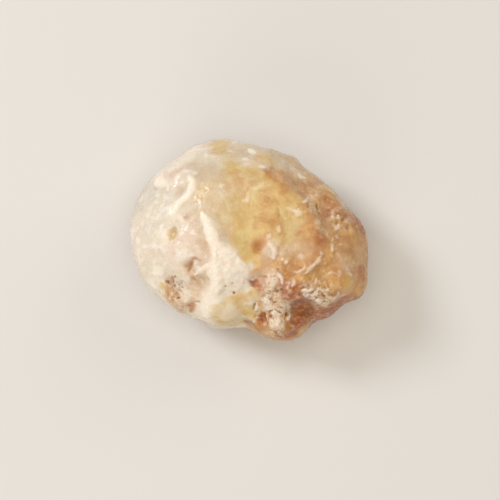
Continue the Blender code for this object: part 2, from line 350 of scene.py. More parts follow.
@dataclass(frozen=True)
class Sight:
    """The point that the stone is seen from, almost straight above its front, in millimetres."""

    rise: float = 80.0
    distance: float = 200.0
    centre: tuple[float, float, float] = (0.07, 0.0, 12.5)
    lowered: float = 2.25
    girth_middle: tuple[float, float, float] = (-0.06, -0.07, 11.4)

    @property
    def back(self) -> Vector:
        """The direction from the stone to the eye."""
        tilt = math.radians(self.rise)
        return Vector((0.0, -math.cos(tilt), math.sin(tilt)))

    @property
    def up(self) -> Vector:
        """The direction that is up to the eye."""
        tilt = math.radians(self.rise)
        return Vector((0.0, math.sin(tilt), math.cos(tilt)))

    @property
    def eye(self) -> Vector:
        """The point of sight."""
        return Vector(self.centre) - self.up * self.lowered + self.back * self.distance

    def spot(self, tree: BVHTree, spot: Spot, side: Side) -> Vector:
        """Finds the point of the surface that a spot names.

        Args:
            tree: the stone's surface, in millimetres.
            spot: the spot, in the terms of its side.
            side: the side that it lies on.

        Returns:
            The point, in millimetres.
        """
        if side is TOP:
            start = self.eye
            aim = Vector(self.girth_middle) + Vector((spot[0], 0, 0)) + self.up * spot[1] - start
        elif side is FLANK:
            turn = math.radians(spot[0])
            out = Vector((math.cos(turn), math.sin(turn), 0.0))
            start, aim = out * self.distance + Vector((0, 0, spot[1])), -out
        else:
            start, aim = Vector((*spot, -self.distance)), Vector((0, 0, 1))
        hit = tree.ray_cast(start, aim)[0]
        return hit if hit else tree.find_nearest(start + aim.normalized() * self.distance)[0]


def marks(side: Side, growth: Growth, *strokes: tuple[float | Spot, ...]) -> tuple[Mark, ...]:
    """Turns strokes of one growth into marks.

    Args:
        side: the side that they lie on.
        growth: what they lay on the crust.
        strokes: each one's reach, strength and lift, and then its spots, in millimetres.

    Returns:
        The marks, in the same order.
    """
    return tuple(Mark(side, growth, *stroke[:3], stroke[3:]) for stroke in strokes)


SIGHT = Sight()

SEEN = (
    # Thin crust round the window, where the clear opal shows through.
    *marks(
        TOP, BEIGE,
        (7.5, 0.85, 0, (-8.0, 13.0), (-6.8, 7.0), (-5.5, 1.0)),
        (5.5, 0.85, 0, (-4.0, 17.0), (3.0, 15.8), (9.0, 13.8)),
        (3.0, 0.6, 0, (-8.8, -1.2), (-9.0, 1.0)),
        (3.0, 0.8, 0, (-8.8, -6.6), (-8.2, -9.4)),
        (1.8, 0.5, 0, (-13.2, 9.6), (-13.0, 8.6)),
        (2.2, 0.5, 0, (-9.8, 15.2), (-10.6, 13.6)),
        (4.0, 0.5, 0, (-14.0, -6.8), (-13.0, -11.0)),
        (4.2, 0.9, 0, (6.0, 17.0), (11.0, 14.4), (15.0, 11.0), (18.0, 8.4)),
    ),
    # The honey window, and the other clear patches.
    *marks(
        TOP, HONEY,
        (2.8, 0.4, 0, (-8.2, 9.8), (-9.4, 8.4)),
        (7.0, 0.8, 0, (-1.6, 11.5), (1.2, 7.0), (1.2, 3.0), (-0.2, -0.2)),
        (6.0, 0.24, 0, (-6.2, 11.0), (-5.0, 4.0)),
        (6.0, 0.7, 0, (5.0, 6.0), (8.6, 3.0), (8.0, -0.8)),
        (3.6, 0.95, 0, (1.6, 6.4), (0.4, 2.6), (-1.0, -0.4), (-1.2, -1.8)),
        (2.8, 0.45, 0, (-5.8, 17.0), (-4.2, 14.6)),
        (2.0, 0.5, 0, (-6.6, 16.8), (-5.2, 16.2)),
        (3.0, 0.6, 0, (2.0, 15.4), (4.6, 15.0)),
        (3.0, 0.75, 0, (-4.6, 13.2), (-2.2, 14.2)),
        (4.0, 0.55, 0, (-1.0, 12.4), (1.8, 11.6)),
        (3.6, 0.8, 0, (4.6, 9.2), (8.6, 7.2), (11.8, 5.6)),
        (4.2, 0.85, 0, (-3.4, -12.6), (-4.4, -15.0)),
        (3.0, 0.4, 0, (-4.6, -12.2), (-5.4, -15.0)),
        (2.2, 0.55, 0, (-1.2, -12.6), (-0.6, -13.6)),
        (2.2, 0.7, 0, (-3.0, -10.9), (-0.6, -11.2)),
        (2.6, 0.8, 0, (14.0, 9.8), (14.6, 8.6)),
        (3.4, 0.95, 0, (18.8, -7.6), (18.4, -9.2)),
        (2.4, 0.8, 0, (1.0, -9.6), (1.2, -10.6)),
        (3.6, 0.9, 0, (20.2, 0.4), (19.0, -1.8)),
        (1.5, 0.8, -0.1, (-14.2, 1.9), (-14.8, 0.2)),
        (0.9, 0.8, 0, (-16.4, -8.4), (-16.3, -9.2)),
        (1.8, 0.35, 0, (-10.1, -10.2), (-10.4, -11.2)),
        (2.9, 0.85, 0, (-1.2, -3.0), (1.6, -3.6), (3.6, -4.8)),
        (2.8, 0.65, 0, (-5.8, -15.4), (-3.0, -16.0), (-0.6, -15.2)),
        (2.4, 0.8, 0, (0.2, -12.8), (0.5, -15.4)),
        (3.2, 0.6, 0, (5.0, 16.6), (9.6, 14.6), (13.6, 11.4)),
        (2.6, 0.7, 0, (-7.0, 18.0), (-4.4, 18.4)),
    ),
    # Tan opal over the right half.
    *marks(
        TOP, AMBER,
        (4.2, 0.9, 0, (3.6, 11.8), (8.4, 10.4), (12.5, 9.2)),
        (1.8, 0.5, 0, (8.0, 17.0), (12.4, 14.0), (16.6, 10.0)),
        (2.6, 0.7, 0, (17.4, 9.6), (20.2, 6.0)),
        (2.2, 0.75, 0, (10.8, 11.9), (13.2, 10.9)),
        (4.6, 0.9, 0, (0.0, -18.0), (5.0, -20.0), (10.0, -19.0), (14.0, -16.0), (18.0, -14.4),
         (22.4, -11.0)),
        (7.0, 0.9, 0, (14.5, 7.5), (15.4, 1.5), (13.6, -4.0)),
        (8.0, 0.95, 0, (21.0, 4.0), (22.0, -2.5), (20.5, -9.5)),
        (5.0, 0.85, 0, (9.4, -4.0), (5.4, -5.2)),
        (5.0, 0.85, 0, (12.6, -8.0), (17.4, -9.4)),
        (5.5, 0.85, 0, (3.0, -15.5), (8.4, -16.5), (12.6, -13.4)),
        (2.6, 0.9, 0, (0.4, -16.6), (3.0, -18.0), (7.0, -18.8)),
        (1.7, 0.7, 0, (1.6, -11.6), (2.3, -12.9)),
        (2.4, 0.5, 0, (2.8, -5.6), (0.8, -6.4)),
        (2.0, 0.4, 0, (1.4, -3.6), (3.2, -4.6)),
        (2.0, 0.5, 0, (6.4, 1.4)),
        (3.2, 0.52, 0, (1.6, 8.8), (4.8, 7.2), (3.8, 4.4), (2.6, 1.4), (3.0, 0.0)),
        (3.2, 0.4, 0, (7.6, 8.2), (11.4, 6.2), (11.6, 3.4)),
        (2.6, 0.95, 0, (10.8, -5.8), (11.9, -7.3)),
        (2.2, 0.85, 0, (9.4, -7.4), (10.4, -8.7)),
        (2.0, 0.9, 0, (1.7, -1.2)),
        (1.8, 0.7, 0, (15.6, 8.4), (16.9, 7.2)),
        (2.8, 0.5, 0, (10.8, 2.0), (11.6, -0.6), (12.2, -3.0)),
    ),
    # Limonite.
    *marks(
        TOP, OCHRE,
        (3.2, 0.42, 0, (9.4, -4.6), (11.0, -4.4)),
        (2.6, 0.42, 0, (15.8, -5.0), (18.2, -6.2)),
        (1.8, 0.85, -0.12, (1.8, -1.2)),
        (1.2, 0.6, 0, (-15.2, -8.6), (-15.3, -10.0)),
        (1.6, 0.6, 0, (-15.6, -10.8), (-14.6, -10.6)),
        (2.2, 0.9, 0, (2.2, -15.9), (1.6, -16.8)),
        (2.0, 0.8, 0, (7.0, -6.4), (7.4, -7.6)),
        (2.4, 0.5, 0, (13.6, 6.8), (15.6, 6.9)),
        (2.2, 0.7, 0, (13.9, 3.6), (14.8, 2.4)),
        (2.8, 0.7, 0, (9.0, -17.4), (6.0, -19.0)),
        (1.8, 0.5, 0, (20.6, 2.6), (21.4, 0.6)),
        (1.8, 0.45, 0, (10.5, -1.8)),
        (2.2, 0.9, 0, (2.8, -14.4), (2.8, -15.8)),
        (1.4, 0.4, 0, (-10.6, -11.7), (-10.9, -13.6)),
        (1.4, 0.4, 0, (-12.0, -13.8), (-13.6, -12.8)),
        (1.5, 0.5, -0.1, (-10.8, -3.8), (-11.9, -6.0)),
        (2.2, 0.3, 0, (-14.6, -11.2), (-11.8, -12.6)),
        (2.2, 0.45, 0, (-15.0, -8.0), (-13.6, -9.0), (-13.8, -10.6)),
        (0.7, 0.45, -0.08, (-12.3, 4.2), (-11.6, 4.0)),
        (2.2, 0.25, 0, (5.4, 4.8), (4.6, 3.0)),
    ),
    # Crust that iron has tinged. One stroke also paints the shade in the pocket under the white
    # fold.
    *marks(
        TOP, BLUSH,
        (3.6, 0.5, 0, (-3.4, 9.6), (0.4, 11.4)),
        # Iron tinge and painted shade: the pocket under the white fold, darkened pinkish brown.
        (3.3, 0.68, 0, (-10.4, -7.2), (-9.0, -8.8), (-9.9, -10.8)),
        (3.4, 0.6, 0, (-14.0, -9.6), (-11.6, -12.4)),
        (1.8, 0.5, 0, (-9.8, -3.4), (-8.8, -3.8)),
        (2.2, 0.55, 0, (-7.9, 0.8), (-8.0, -3.6), (-8.4, -5.6)),
        (1.8, 0.45, 0, (-10.4, -5.6), (-11.4, -6.2)),
        (3.6, 0.4, 0, (-11.6, 1.6), (-10.6, -1.2)),
        (1.6, 0.45, 0, (-14.7, 12.2), (-13.2, 13.2)),
        (1.6, 0.4, 0, (-11.6, 3.8), (-10.8, 4.4)),
        (2.6, 0.4, 0, (-12.4, 13.8), (-10.6, 14.4)),
        (3.6, 0.95, 0, (3.4, -6.8), (4.4, -9.8), (5.6, -12.6)),
        (2.5, 0.9, 0, (4.4, -1.0), (4.8, -3.4)),
        (3.2, 0.45, 0, (9.0, -0.6), (10.8, -1.2)),
        (3.4, 0.6, 0, (7.0, 15.4), (11.8, 12.8), (16.2, 9.0)),
        (3.4, 0.55, 0, (5.0, 12.0), (9.6, 10.2), (13.2, 8.6)),
        (3.0, 0.3, 0, (20.4, -1.0), (21.0, -4.6)),
        (2.6, 0.5, 0, (15.0, 3.8), (13.6, 1.0)),
        (2.4, 0.25, 0, (12.0, -0.6), (12.2, -3.0)),
        (2.0, 0.6, 0, (3.0, -3.4), (4.0, -4.0)),
        (2.0, 0.6, 0, (6.6, -2.1), (7.6, -2.8)),
        (2.0, 0.45, 0, (-12.1, -5.8)),
        (1.8, 0.6, 0, (13.2, -10.8), (13.2, -12.0)),
        (2.0, 0.5, 0, (4.4, -19.0), (8.8, -18.4)),
        (2.4, 0.6, 0, (14.2, 6.4), (15.0, 4.6)),
        (1.8, 0.5, 0, (4.8, -14.4), (5.2, -17.2)),
    ),
    # Iron-stained matrix. Two faint strokes paint the shade of the band under the pale lip.
    *marks(
        TOP, RUST,
        (3.0, 0.35, 0, (12.4, 1.8), (12.4, -2.4)),
        (1.8, 0.85, 0, (20.4, 4.4), (21.2, 2.0), (21.4, 1.2)),
        (3.0, 0.8, 0, (8.8, -8.8), (9.7, -11.4), (10.4, -14.0), (9.4, -16.0)),
        (2.0, 0.55, 0, (17.4, -11.2), (19.8, -10.7)),
        (1.6, 0.35, 0, (1.4, -9.2), (3.2, -7.4)),
        (1.9, 0.75, 0, (6.1, -7.6), (7.2, -10.0), (9.4, -9.8)),
        (2.4, 0.8, 0, (8.0, -15.4), (8.6, -17.6)),
        (1.8, 0.25, 0, (6.4, -11.0), (7.6, -12.4)),
        (3.0, 0.85, 0, (12.0, -12.4), (10.8, -15.4)),
        (2.6, 0.95, 0, (18.4, -12.2), (15.0, -13.8), (12.0, -16.0)),
        (2.4, 0.95, 0, (17.2, -12.0), (15.0, -13.2), (13.2, -14.2), (11.6, -15.0)),
        (2.0, 0.8, 0, (21.4, -10.9), (18.6, -11.4)),
        (1.7, 0.8, 0, (15.6, -12.2), (16.8, -11.7), (18.2, -10.9)),
        (2.0, 0.95, 0, (5.6, -18.2), (8.6, -17.6)),
        (2.0, 0.8, -0.15, (2.8, -14.4), (2.3, -15.6)),
        (1.7, 0.85, -0.1, (1.1, -8.0), (0.8, -8.6)),
        (1.4, 0.4, 0, (2.0, -9.2), (2.6, -10.6)),
        (1.6, 0.22, 0, (2.8, -8.0), (1.7, -9.2)),
        (1.8, 0.6, 0, (14.0, 5.6), (14.4, 4.6)),
        (3.0, 0.5, 0, (14.6, 7.0), (17.6, 5.0), (19.8, 3.6), (21.4, 2.2)),
        (1.8, 1.0, 0, (21.2, 3.4), (21.8, 1.4)),
        (2.0, 0.6, 0, (13.2, 1.2), (14.0, -0.8)),
        (2.0, 0.65, 0, (21.0, -5.2), (21.6, -7.4)),
        (1.0, 0.6, 0, (-10.7, -11.9), (-11.0, -13.4)),
        (1.6, 0.3, 0, (-14.4, -11.6), (-12.4, -12.2)),
        (0.8, 0.28, 0, (-14.9, 12.2)),
        # These two strokes are painted shade: the dark band under the pale lip at the top right.
        (1.6, 0.3, 0, (4.6, 13.2), (3.2, 12.8)),
        (3.0, 0.3, 0, (11.0, 10.4), (9.0, 9.4)),
        (1.6, 0.7, 0, (-0.8, -15.3), (0.8, -16.0)),
    ),
    # Grey chalcedony.
    *marks(
        TOP, ASH,
        (3.4, 0.9, 0, (-21.6, 5.4), (-20.0, 8.0), (-17.4, 9.8)),
        (2.4, 0.4, 0, (-20.4, 0.0), (-19.6, 3.0)),
        (1.9, 0.35, 0, (-11.2, 14.4), (-10.4, 13.2)),
        (1.3, 0.4, 0, (-14.4, 1.6)),
        (1.5, 0.5, 0, (-0.4, 17.2), (0.6, 15.6)),
        (1.1, 0.6, 0, (-6.6, 0.9)), (1.1, 0.5, 0, (-5.2, -0.8)),
        (1.0, 0.8, 0, (0.1, -4.6), (0.4, -5.4)),
        (1.2, 0.45, 0, (-4.0, -2.4)),
        (1.4, 0.45, 0, (-8.8, -4.4), (-7.8, -4.3)),
        (1.7, 0.6, 0, (-13.2, -8.4)), (1.8, 0.5, 0, (-8.4, -8.6)),
        (1.2, 0.45, 0, (11.8, -11.8), (12.9, -12.8)),
        (1.1, 0.5, 0, (3.4, -12.3)),
        (1.9, 0.5, 0, (4.2, -1.4), (4.0, -3.0)),
        (2.2, 0.6, 0, (-3.1, -8.6), (-1.6, -5.2)),
    ),
    # Dirt in pits and cracks. A few strokes paint shade instead: the upper-left wall of the dimple
    # and the band under the pale lip.
    *marks(
        TOP, UMBER,
        # Painted shade: the upper-left wall of the dimple, which faces away from the light,
        # darkened in umber.
        (0.9, 0.32, 0, (1.4, -0.8), (1.1, -1.3)),
        (1.0, 0.25, 0, (8.6, -9.2), (9.0, -10.4)),
        (1.1, 0.5, 0, (2.9, -14.4), (2.5, -15.3)),
        # These two strokes are painted shade: the dark band under the pale lip at the top right.
        (1.7, 0.35, 0, (8.2, 11.0), (11.6, 10.6)),
        (1.1, 0.3, 0, (2.6, 13.0), (4.4, 13.6)),
        (0.45, 1.0, -0.2, (-3.0, -9.9), (-2.8, -10.1)),
        (0.4, 0.45, -0.1, (-3.2, -8.2)), (0.35, 0.4, -0.1, (-4.5, -8.8)),
        (0.5, 0.35, -0.1, (-17.2, -1.9)),
        (0.6, 0.6, -0.2, (-15.7, -7.8), (-15.2, -8.2)),
        (0.5, 0.5, -0.15, (-14.9, -7.3), (-13.8, -6.9)),
        (0.36, 0.5, -0.12, (-12.8, -7.8)), (0.35, 0.6, -0.15, (-13.2, -8.4)),
        (0.4, 0.6, -0.15, (-12.6, -8.9)), (0.4, 0.5, -0.15, (-14.0, -8.7)),
        (0.4, 0.5, -0.15, (-14.2, -9.6)), (0.4, 0.5, -0.15, (-13.4, -11.0)),
        (0.9, 0.45, -0.1, (-10.7, -7.4)), (0.45, 0.4, -0.1, (-17.0, -10.0)),
        (0.5, 0.4, -0.1, (-15.9, -11.7)),
        (0.3, 0.6, -0.12, (-10.5, -11.7), (-9.2, -11.7)),
        (1.2, 0.2, -0.06, (-11.2, -4.4), (-11.8, -5.6)),
        (0.5, 0.35, -0.06, (-10.6, -3.6), (-11.4, -4.6), (-12.2, -5.2)),
        (0.45, 0.45, -0.06, (-10.9, -4.4), (-11.4, -5.4), (-11.6, -6.2)),
        (0.45, 0.45, -0.05, (-10.6, -3.4), (-9.2, -3.9)),
        (0.4, 0.4, -0.05, (-10.2, -4.6), (-9.4, -4.9)),
        (0.5, 0.35, 0, (-10.2, -3.6)),
        (0.7, 0.35, -0.15, (0.2, -7.9), (0.9, -8.6)),
        (0.45, 0.35, -0.1, (-0.5, -7.6), (1.0, -7.2), (3.2, -6.9)),
        (0.4, 0.8, -0.2, (6.1, -9.4)), (0.4, 0.6, -0.15, (5.3, -9.8)),
        (0.5, 0.5, -0.15, (5.4, -5.6)),
        (0.36, 0.7, -0.2, (3.5, -13.7), (4.5, -13.2)),
        (0.36, 0.6, -0.2, (4.9, -13.2), (6.0, -13.8)),
        (0.5, 0.8, -0.25, (7.1, -14.1)), (0.4, 0.6, -0.15, (3.9, -14.5)),
        (0.35, 0.6, -0.15, (1.1, -12.0), (0.8, -13.2)),
        (1.2, 0.4, 0, (-1.2, -15.7), (-0.4, -15.4)),
        (0.7, 0.45, -0.12, (5.2, -17.2), (5.0, -17.8)),
        (1.7, 0.7, 0, (11.5, -12.6), (11.0, -14.6)),
        (1.4, 0.55, 0, (14.2, -13.6), (15.4, -13.0)),
        (0.36, 0.5, -0.2, (12.9, 6.8), (12.8, 6.2), (13.1, 5.7)),
        (0.9, 0.4, -0.15, (17.8, 4.9), (18.5, 4.2)),
        (0.6, 0.4, -0.15, (17.2, 3.7), (17.9, 3.8)),
        (0.9, 0.4, -0.15, (18.2, 2.6), (18.8, 2.2)),
        (0.4, 0.6, -0.2, (11.0, -10.0), (11.8, -10.0), (12.3, -9.5)),
        (0.4, 0.5, -0.15, (13.6, -10.0), (14.2, -10.7)),
        # Painted shade: a small dark patch in the band under the pale lip.
        (1.0, 0.3, 0, (6.4, 12.6), (7.4, 12.8)),
    ),
    # White opal: the winding vein, the spine and the other ridges, then chips and flecks. A few
    # strokes are painted light: a reflection on the upper-left facet, a highlight along the
    # upper-left rim and a paler yellow patch on the front slope.
    *marks(
        TOP, CHALK,
        # Painted light: white opal lightens the yellow patch on the front slope, which the lamps
        # leave in shade.
        (3.2, 0.68, 0, (-3.4, -12.4), (-4.4, -14.8)),
        (1.8, 0.42, 0, (6.2, -12.6), (7.6, -13.8)),
        (1.05, 0.95, 0.12, (-11.5, 12.2), (-10.9, 11.0), (-11.1, 9.6), (-11.8, 8.4), (-12.8, 7.4)),
        (0.95, 0.85, 0.08, (-12.3, 8.0), (-13.6, 6.8), (-14.2, 5.6)),
        (0.9, 0.55, 0.06, (-14.0, 6.2), (-14.4, 4.8), (-14.2, 3.4)),
        # These two strokes are a painted reflection: the bright facet at the upper left, where the
        # window light would mirror.
        (1.7, 1.0, 0.03, (-17.4, 11.4), (-16.6, 11.3)),
        (1.0, 0.9, 0.02, (-17.9, 10.7), (-15.7, 10.6)),
        (0.6, 0.9, 0.06, (-15.6, 10.4), (-15.3, 9.4)),
        (0.8, 0.8, 0.05, (-13.9, 11.3), (-13.4, 12.4)),
        (0.7, 0.7, 0.05, (-12.8, 10.9)), (0.8, 0.75, 0.05, (-10.3, 12.6)),
        (0.6, 0.85, 0.06, (-8.1, 16.8), (-8.1, 15.6)),
        (0.5, 0.8, 0.04, (-17.7, 8.3), (-16.9, 8.4)),
        (0.45, 0.6, 0.03, (-17.7, 7.0), (-17.1, 6.9)),
        (1.7, 0.7, 0.03, (-14.8, 13.2), (-12.4, 14.8), (-10.4, 16.4)),
        (0.6, 0.6, 0.04, (-20.2, 8.4), (-20.2, 7.4)),
        (0.7, 0.5, 0.03, (-19.6, 4.8), (-18.8, 4.6)),
        (0.6, 0.6, 0.03, (-20.2, 3.8), (-20.1, 2.6)),
        (1.1, 1.0, 0.1, (-8.9, 4.8), (-8.4, 3.6), (-7.7, 2.2)),
        (2.0, 0.5, 0, (-7.4, 3.4), (-6.6, 1.4)),
        (1.5, 0.95, 0.06, (-8.0, 2.8), (-7.5, 1.2), (-7.2, -0.4)),
        (1.3, 0.8, 0.06, (-7.1, 1.6), (-6.8, -0.4), (-6.4, -3.0)),
        (2.45, 0.9, 0.04, (-5.8, -2.8), (-5.8, -6.0), (-5.6, -9.0)),
        (2.5, 0.78, 0.04, (-6.6, -9.0), (-8.0, -11.8), (-8.4, -14.2)),
        (2.1, 0.55, 0.06, (-5.4, -1.4), (-4.1, -2.6), (-3.9, -4.0)),
        (2.2, 0.26, 0.04, (-1.4, -5.4), (-1.6, -7.4)),
        (0.7, 0.8, 0.12, (-7.7, -4.6), (-8.7, -5.4), (-10.2, -6.6)),
        (1.6, 0.7, 0.06, (-12.1, -9.2), (-12.0, -11.4)),
        (1.6, 0.45, 0, (-16.8, 1.4), (-16.0, -0.6)),
        (0.7, 0.5, 0.05, (-11.2, 3.6), (-10.4, 4.4)),
        (2.2, 0.35, 0, (-12.6, -1.0), (-12.0, -2.6)),
        (3.0, 0.35, 0, (-17.4, -3.2), (-16.8, -5.0)),
        (0.5, 0.45, 0.03, (-5.4, 10.8), (-5.3, 9.6)),
        (0.45, 0.3, 0.02, (-5.8, 10.0), (-4.6, 10.4)),
        (0.5, 0.3, 0.02, (-4.8, 9.2)),
        (0.6, 0.45, 0.05, (-0.1, 9.0), (-0.3, 8.0), (-0.2, 7.4)),
        (0.55, 0.5, 0.04, (-1.4, 7.4), (-0.2, 7.3)),
        (0.6, 0.45, 0.05, (0.8, 9.6), (1.8, 9.9), (2.6, 10.8)),
        (0.8, 0.4, 0, (-6.6, 5.4)),
        (0.7, 0.35, 0, (-3.7, 13.3), (-3.4, 13.0)),
        (0.8, 0.35, 0, (-1.9, 12.4), (-1.2, 11.8)),
        (0.9, 0.95, 0.08, (0.0, 17.0), (1.0, 16.2)),
        (0.7, 0.75, 0.05, (-1.2, 15.4), (-0.2, 15.1)),
        (0.7, 0.5, 0.04, (-4.2, 16.8), (-3.2, 16.6)),
        (0.5, 0.65, 0.06, (1.7, 13.8), (3.1, 13.8)),
        (1.2, 0.3, 0.05, (8.1, 13.6), (8.8, 12.6), (10.6, 12.6)),
        (0.5, 0.8, 0.08, (9.2, 12.4), (9.6, 11.8), (10.7, 11.6)),
        # Painted highlight: a pale band along the upper-left rim, which faces the window light.
        (2.2, 0.85, 0, (-18.2, 11.6), (-15.6, 13.9), (-12.6, 15.8), (-9.6, 17.7)),
        (0.45, 0.75, 0.1, (10.1, 7.0), (10.8, 7.3), (11.1, 7.9)),
        (1.0, 0.35, 0.05, (11.9, 8.4), (11.6, 7.5)),
        (1.8, 0.45, 0, (11.6, 6.6), (12.6, 5.0)),
        (1.1, 0.6, 0.08, (8.8, 5.4), (9.7, 4.9)),
        (0.7, 0.45, 0.05, (7.2, 6.0), (8.6, 5.4)),
        (0.5, 0.6, 0.05, (6.7, 4.0)),
        (0.6, 0.55, 0.06, (5.6, 2.6), (5.5, 1.4)),
        (0.75, 0.6, 0.06, (3.7, 0.7)),
        (1.6, 0.22, 0.1, (4.2, -1.0), (4.5, -2.0), (4.0, -3.4)),
        (0.45, 0.5, 0.06, (3.7, -0.3), (4.2, -1.4)),
        (0.5, 0.6, 0.06, (4.6, -1.6), (4.9, -3.0)),
        (1.4, 0.4, 0, (7.0, -1.2), (7.6, -2.0)),
        (0.5, 0.9, 0.06, (4.6, -3.4)),
        (0.4, 0.7, 0.06, (6.2, -3.4), (6.2, -3.9)),
        (0.5, 0.9, 0.08, (6.9, -4.2)), (0.85, 0.6, 0.05, (9.8, -3.1)),
        (0.6, 0.55, 0.12, (13.4, -3.2), (12.8, -4.2), (12.1, -4.8)),
        (0.65, 0.6, 0.12, (12.1, -4.8), (11.5, -5.3), (10.9, -6.2)),
        (0.4, 0.5, 0.05, (10.9, -6.2), (10.4, -6.5)),
        (0.38, 0.5, 0.06, (10.6, -4.8), (10.1, -5.6), (9.0, -6.2)),
        (0.38, 0.4, 0.04, (10.0, -6.9), (9.9, -7.6)),
        (0.4, 0.5, 0.05, (10.2, -8.6)),
        (0.45, 0.6, 0.08, (8.4, -7.4), (8.5, -8.0), (8.1, -8.8)),
        (0.45, 0.7, 0.08, (12.7, -7.3), (12.5, -8.2)),
        (0.5, 0.5, 0.07, (13.2, -7.5), (13.3, -8.4)),
        (0.42, 0.95, 0.1, (9.9, -9.5), (11.0, -9.5)),
        (0.36, 0.9, 0.1, (11.0, -9.7), (12.0, -9.2)),
        (0.45, 0.95, 0.12, (12.3, -10.2), (12.8, -9.8)),
        (0.35, 0.95, 0.1, (12.9, -9.6), (12.9, -9.0)),
        (0.5, 0.65, 0.08, (10.3, -10.0), (10.8, -10.6)),
        (0.5, 0.6, 0.08, (11.4, -10.9), (12.2, -10.6)),
        (0.4, 0.8, 0.1, (10.9, -10.1), (11.6, -10.3)),
        (0.45, 0.75, 0.1, (13.3, -9.4), (13.9, -9.7)),
        (0.45, 0.75, 0.1, (14.2, -9.7), (14.9, -9.3)),
        (0.4, 0.65, 0.08, (14.1, -10.1), (14.9, -10.9)),
        (0.5, 1.0, 0.12, (15.3, -10.9)),
        (0.4, 0.75, 0.08, (14.1, -11.3), (14.9, -11.4)),
        (0.45, 0.65, 0.08, (15.4, -11.3), (16.6, -10.6)),
        (0.4, 0.6, 0.08, (16.7, -9.7), (16.8, -10.4)),
        (0.7, 0.9, 0.12, (12.8, -11.1), (13.2, -11.9)),
        (0.5, 0.45, 0.06, (12.4, -12.0), (13.2, -12.3)),
        (0.5, 0.75, 0.08, (15.6, -1.2), (15.7, -2.2)),
        (0.6, 0.45, 0.05, (16.6, 1.0), (16.6, 0.2)),
        (0.6, 0.4, 0.05, (16.8, -6.9), (17.2, -6.0)),
        (0.45, 0.6, 0.07, (18.7, -6.3), (19.4, -6.7)),
        (0.4, 0.35, 0.04, (16.0, 5.8), (17.6, 5.9)),
        (0.45, 0.6, 0.06, (15.6, 5.1)),
        (0.5, 0.85, 0.08, (16.6, 4.6), (16.8, 4.0)),
        (0.5, 0.6, 0.06, (15.4, 4.4), (16.1, 3.9)),
        (0.8, 0.7, 0.07, (16.8, 2.8), (16.2, 1.9)),
        (0.5, 0.25, 0.04, (18.2, 3.4), (19.2, 3.9)),
        (0.9, 0.5, 0.05, (12.7, 3.2), (13.4, 3.6)),
        (1.5, 0.4, 0.06, (3.6, -7.2), (4.0, -8.6)),
        (0.4, 0.75, 0.08, (5.4, -6.4), (6.1, -7.4), (6.2, -8.4)),
        (1.2, 0.4, 0.06, (3.4, -9.8), (3.9, -10.6)),
        (1.3, 0.8, 0.15, (2.8, -11.3), (3.5, -11.6)),
        (0.45, 0.8, 0.12, (1.45, -12.0), (1.2, -13.4)),
        (0.5, 0.7, 0.12, (1.5, -14.5), (0.8, -15.6)),
        (0.7, 0.7, 0.1, (4.7, -13.4), (4.7, -14.3)),
        (0.7, 0.6, 0.1, (4.3, -15.2), (4.3, -16.3)),
        (0.6, 0.6, 0.08, (4.4, -17.4)),
        (0.8, 0.7, 0.1, (5.5, -14.6), (5.3, -16.2)),
        (0.7, 0.55, 0.1, (6.3, -15.8), (6.4, -17.0)),
        (1.6, 0.45, 0.04, (4.9, -14.6), (5.2, -16.8)),
        (0.4, 0.6, 0.06, (4.8, -13.3), (5.7, -14.2)),
        (0.4, 0.6, 0.06, (6.3, -14.9), (6.7, -15.8)),
        (0.5, 0.9, 0.08, (5.9, -17.8)),
        (0.6, 0.8, 0.1, (7.7, -14.4), (7.2, -15.2)),
        (0.7, 0.6, 0.06, (-1.2, -14.3), (-0.8, -14.6)),
        (0.5, 0.35, 0.06, (7.6, -10.2), (7.9, -9.5)),
    ),
    # Crumbly ground.
    *marks(
        TOP, GRIT,
        (4.6, 0.9, 0, (5.0, -8.4), (5.2, -12.0), (5.4, -17.0)),
        (2.0, 0.8, 0, (5.0, -15.0), (5.2, -17.4)),
        (3.4, 1.0, 0, (11.0, -10.0), (15.5, -11.2)),
        (4.0, 0.3, 0, (8.8, -10.0), (9.8, -15.0)),
        (3.2, 0.6, 0, (15.6, 5.0), (17.4, 3.0)),
        (2.8, 0.95, 0, (-14.6, -8.4), (-13.2, -8.8), (-13.8, -10.8)),
        (2.6, 0.8, 0, (-15.8, -11.2), (-11.4, -13.2)),
        (2.2, 0.35, 0, (-2.9, -8.8)),
        (2.6, 0.5, 0, (10.8, 7.6), (8.8, 5.2)),
        (4.0, 0.25, 0, (4.0, -3.0), (9.0, -5.0)),
        (2.4, 0.4, 0, (-11.0, -5.0), (-9.0, -8.0)),
    ),
)
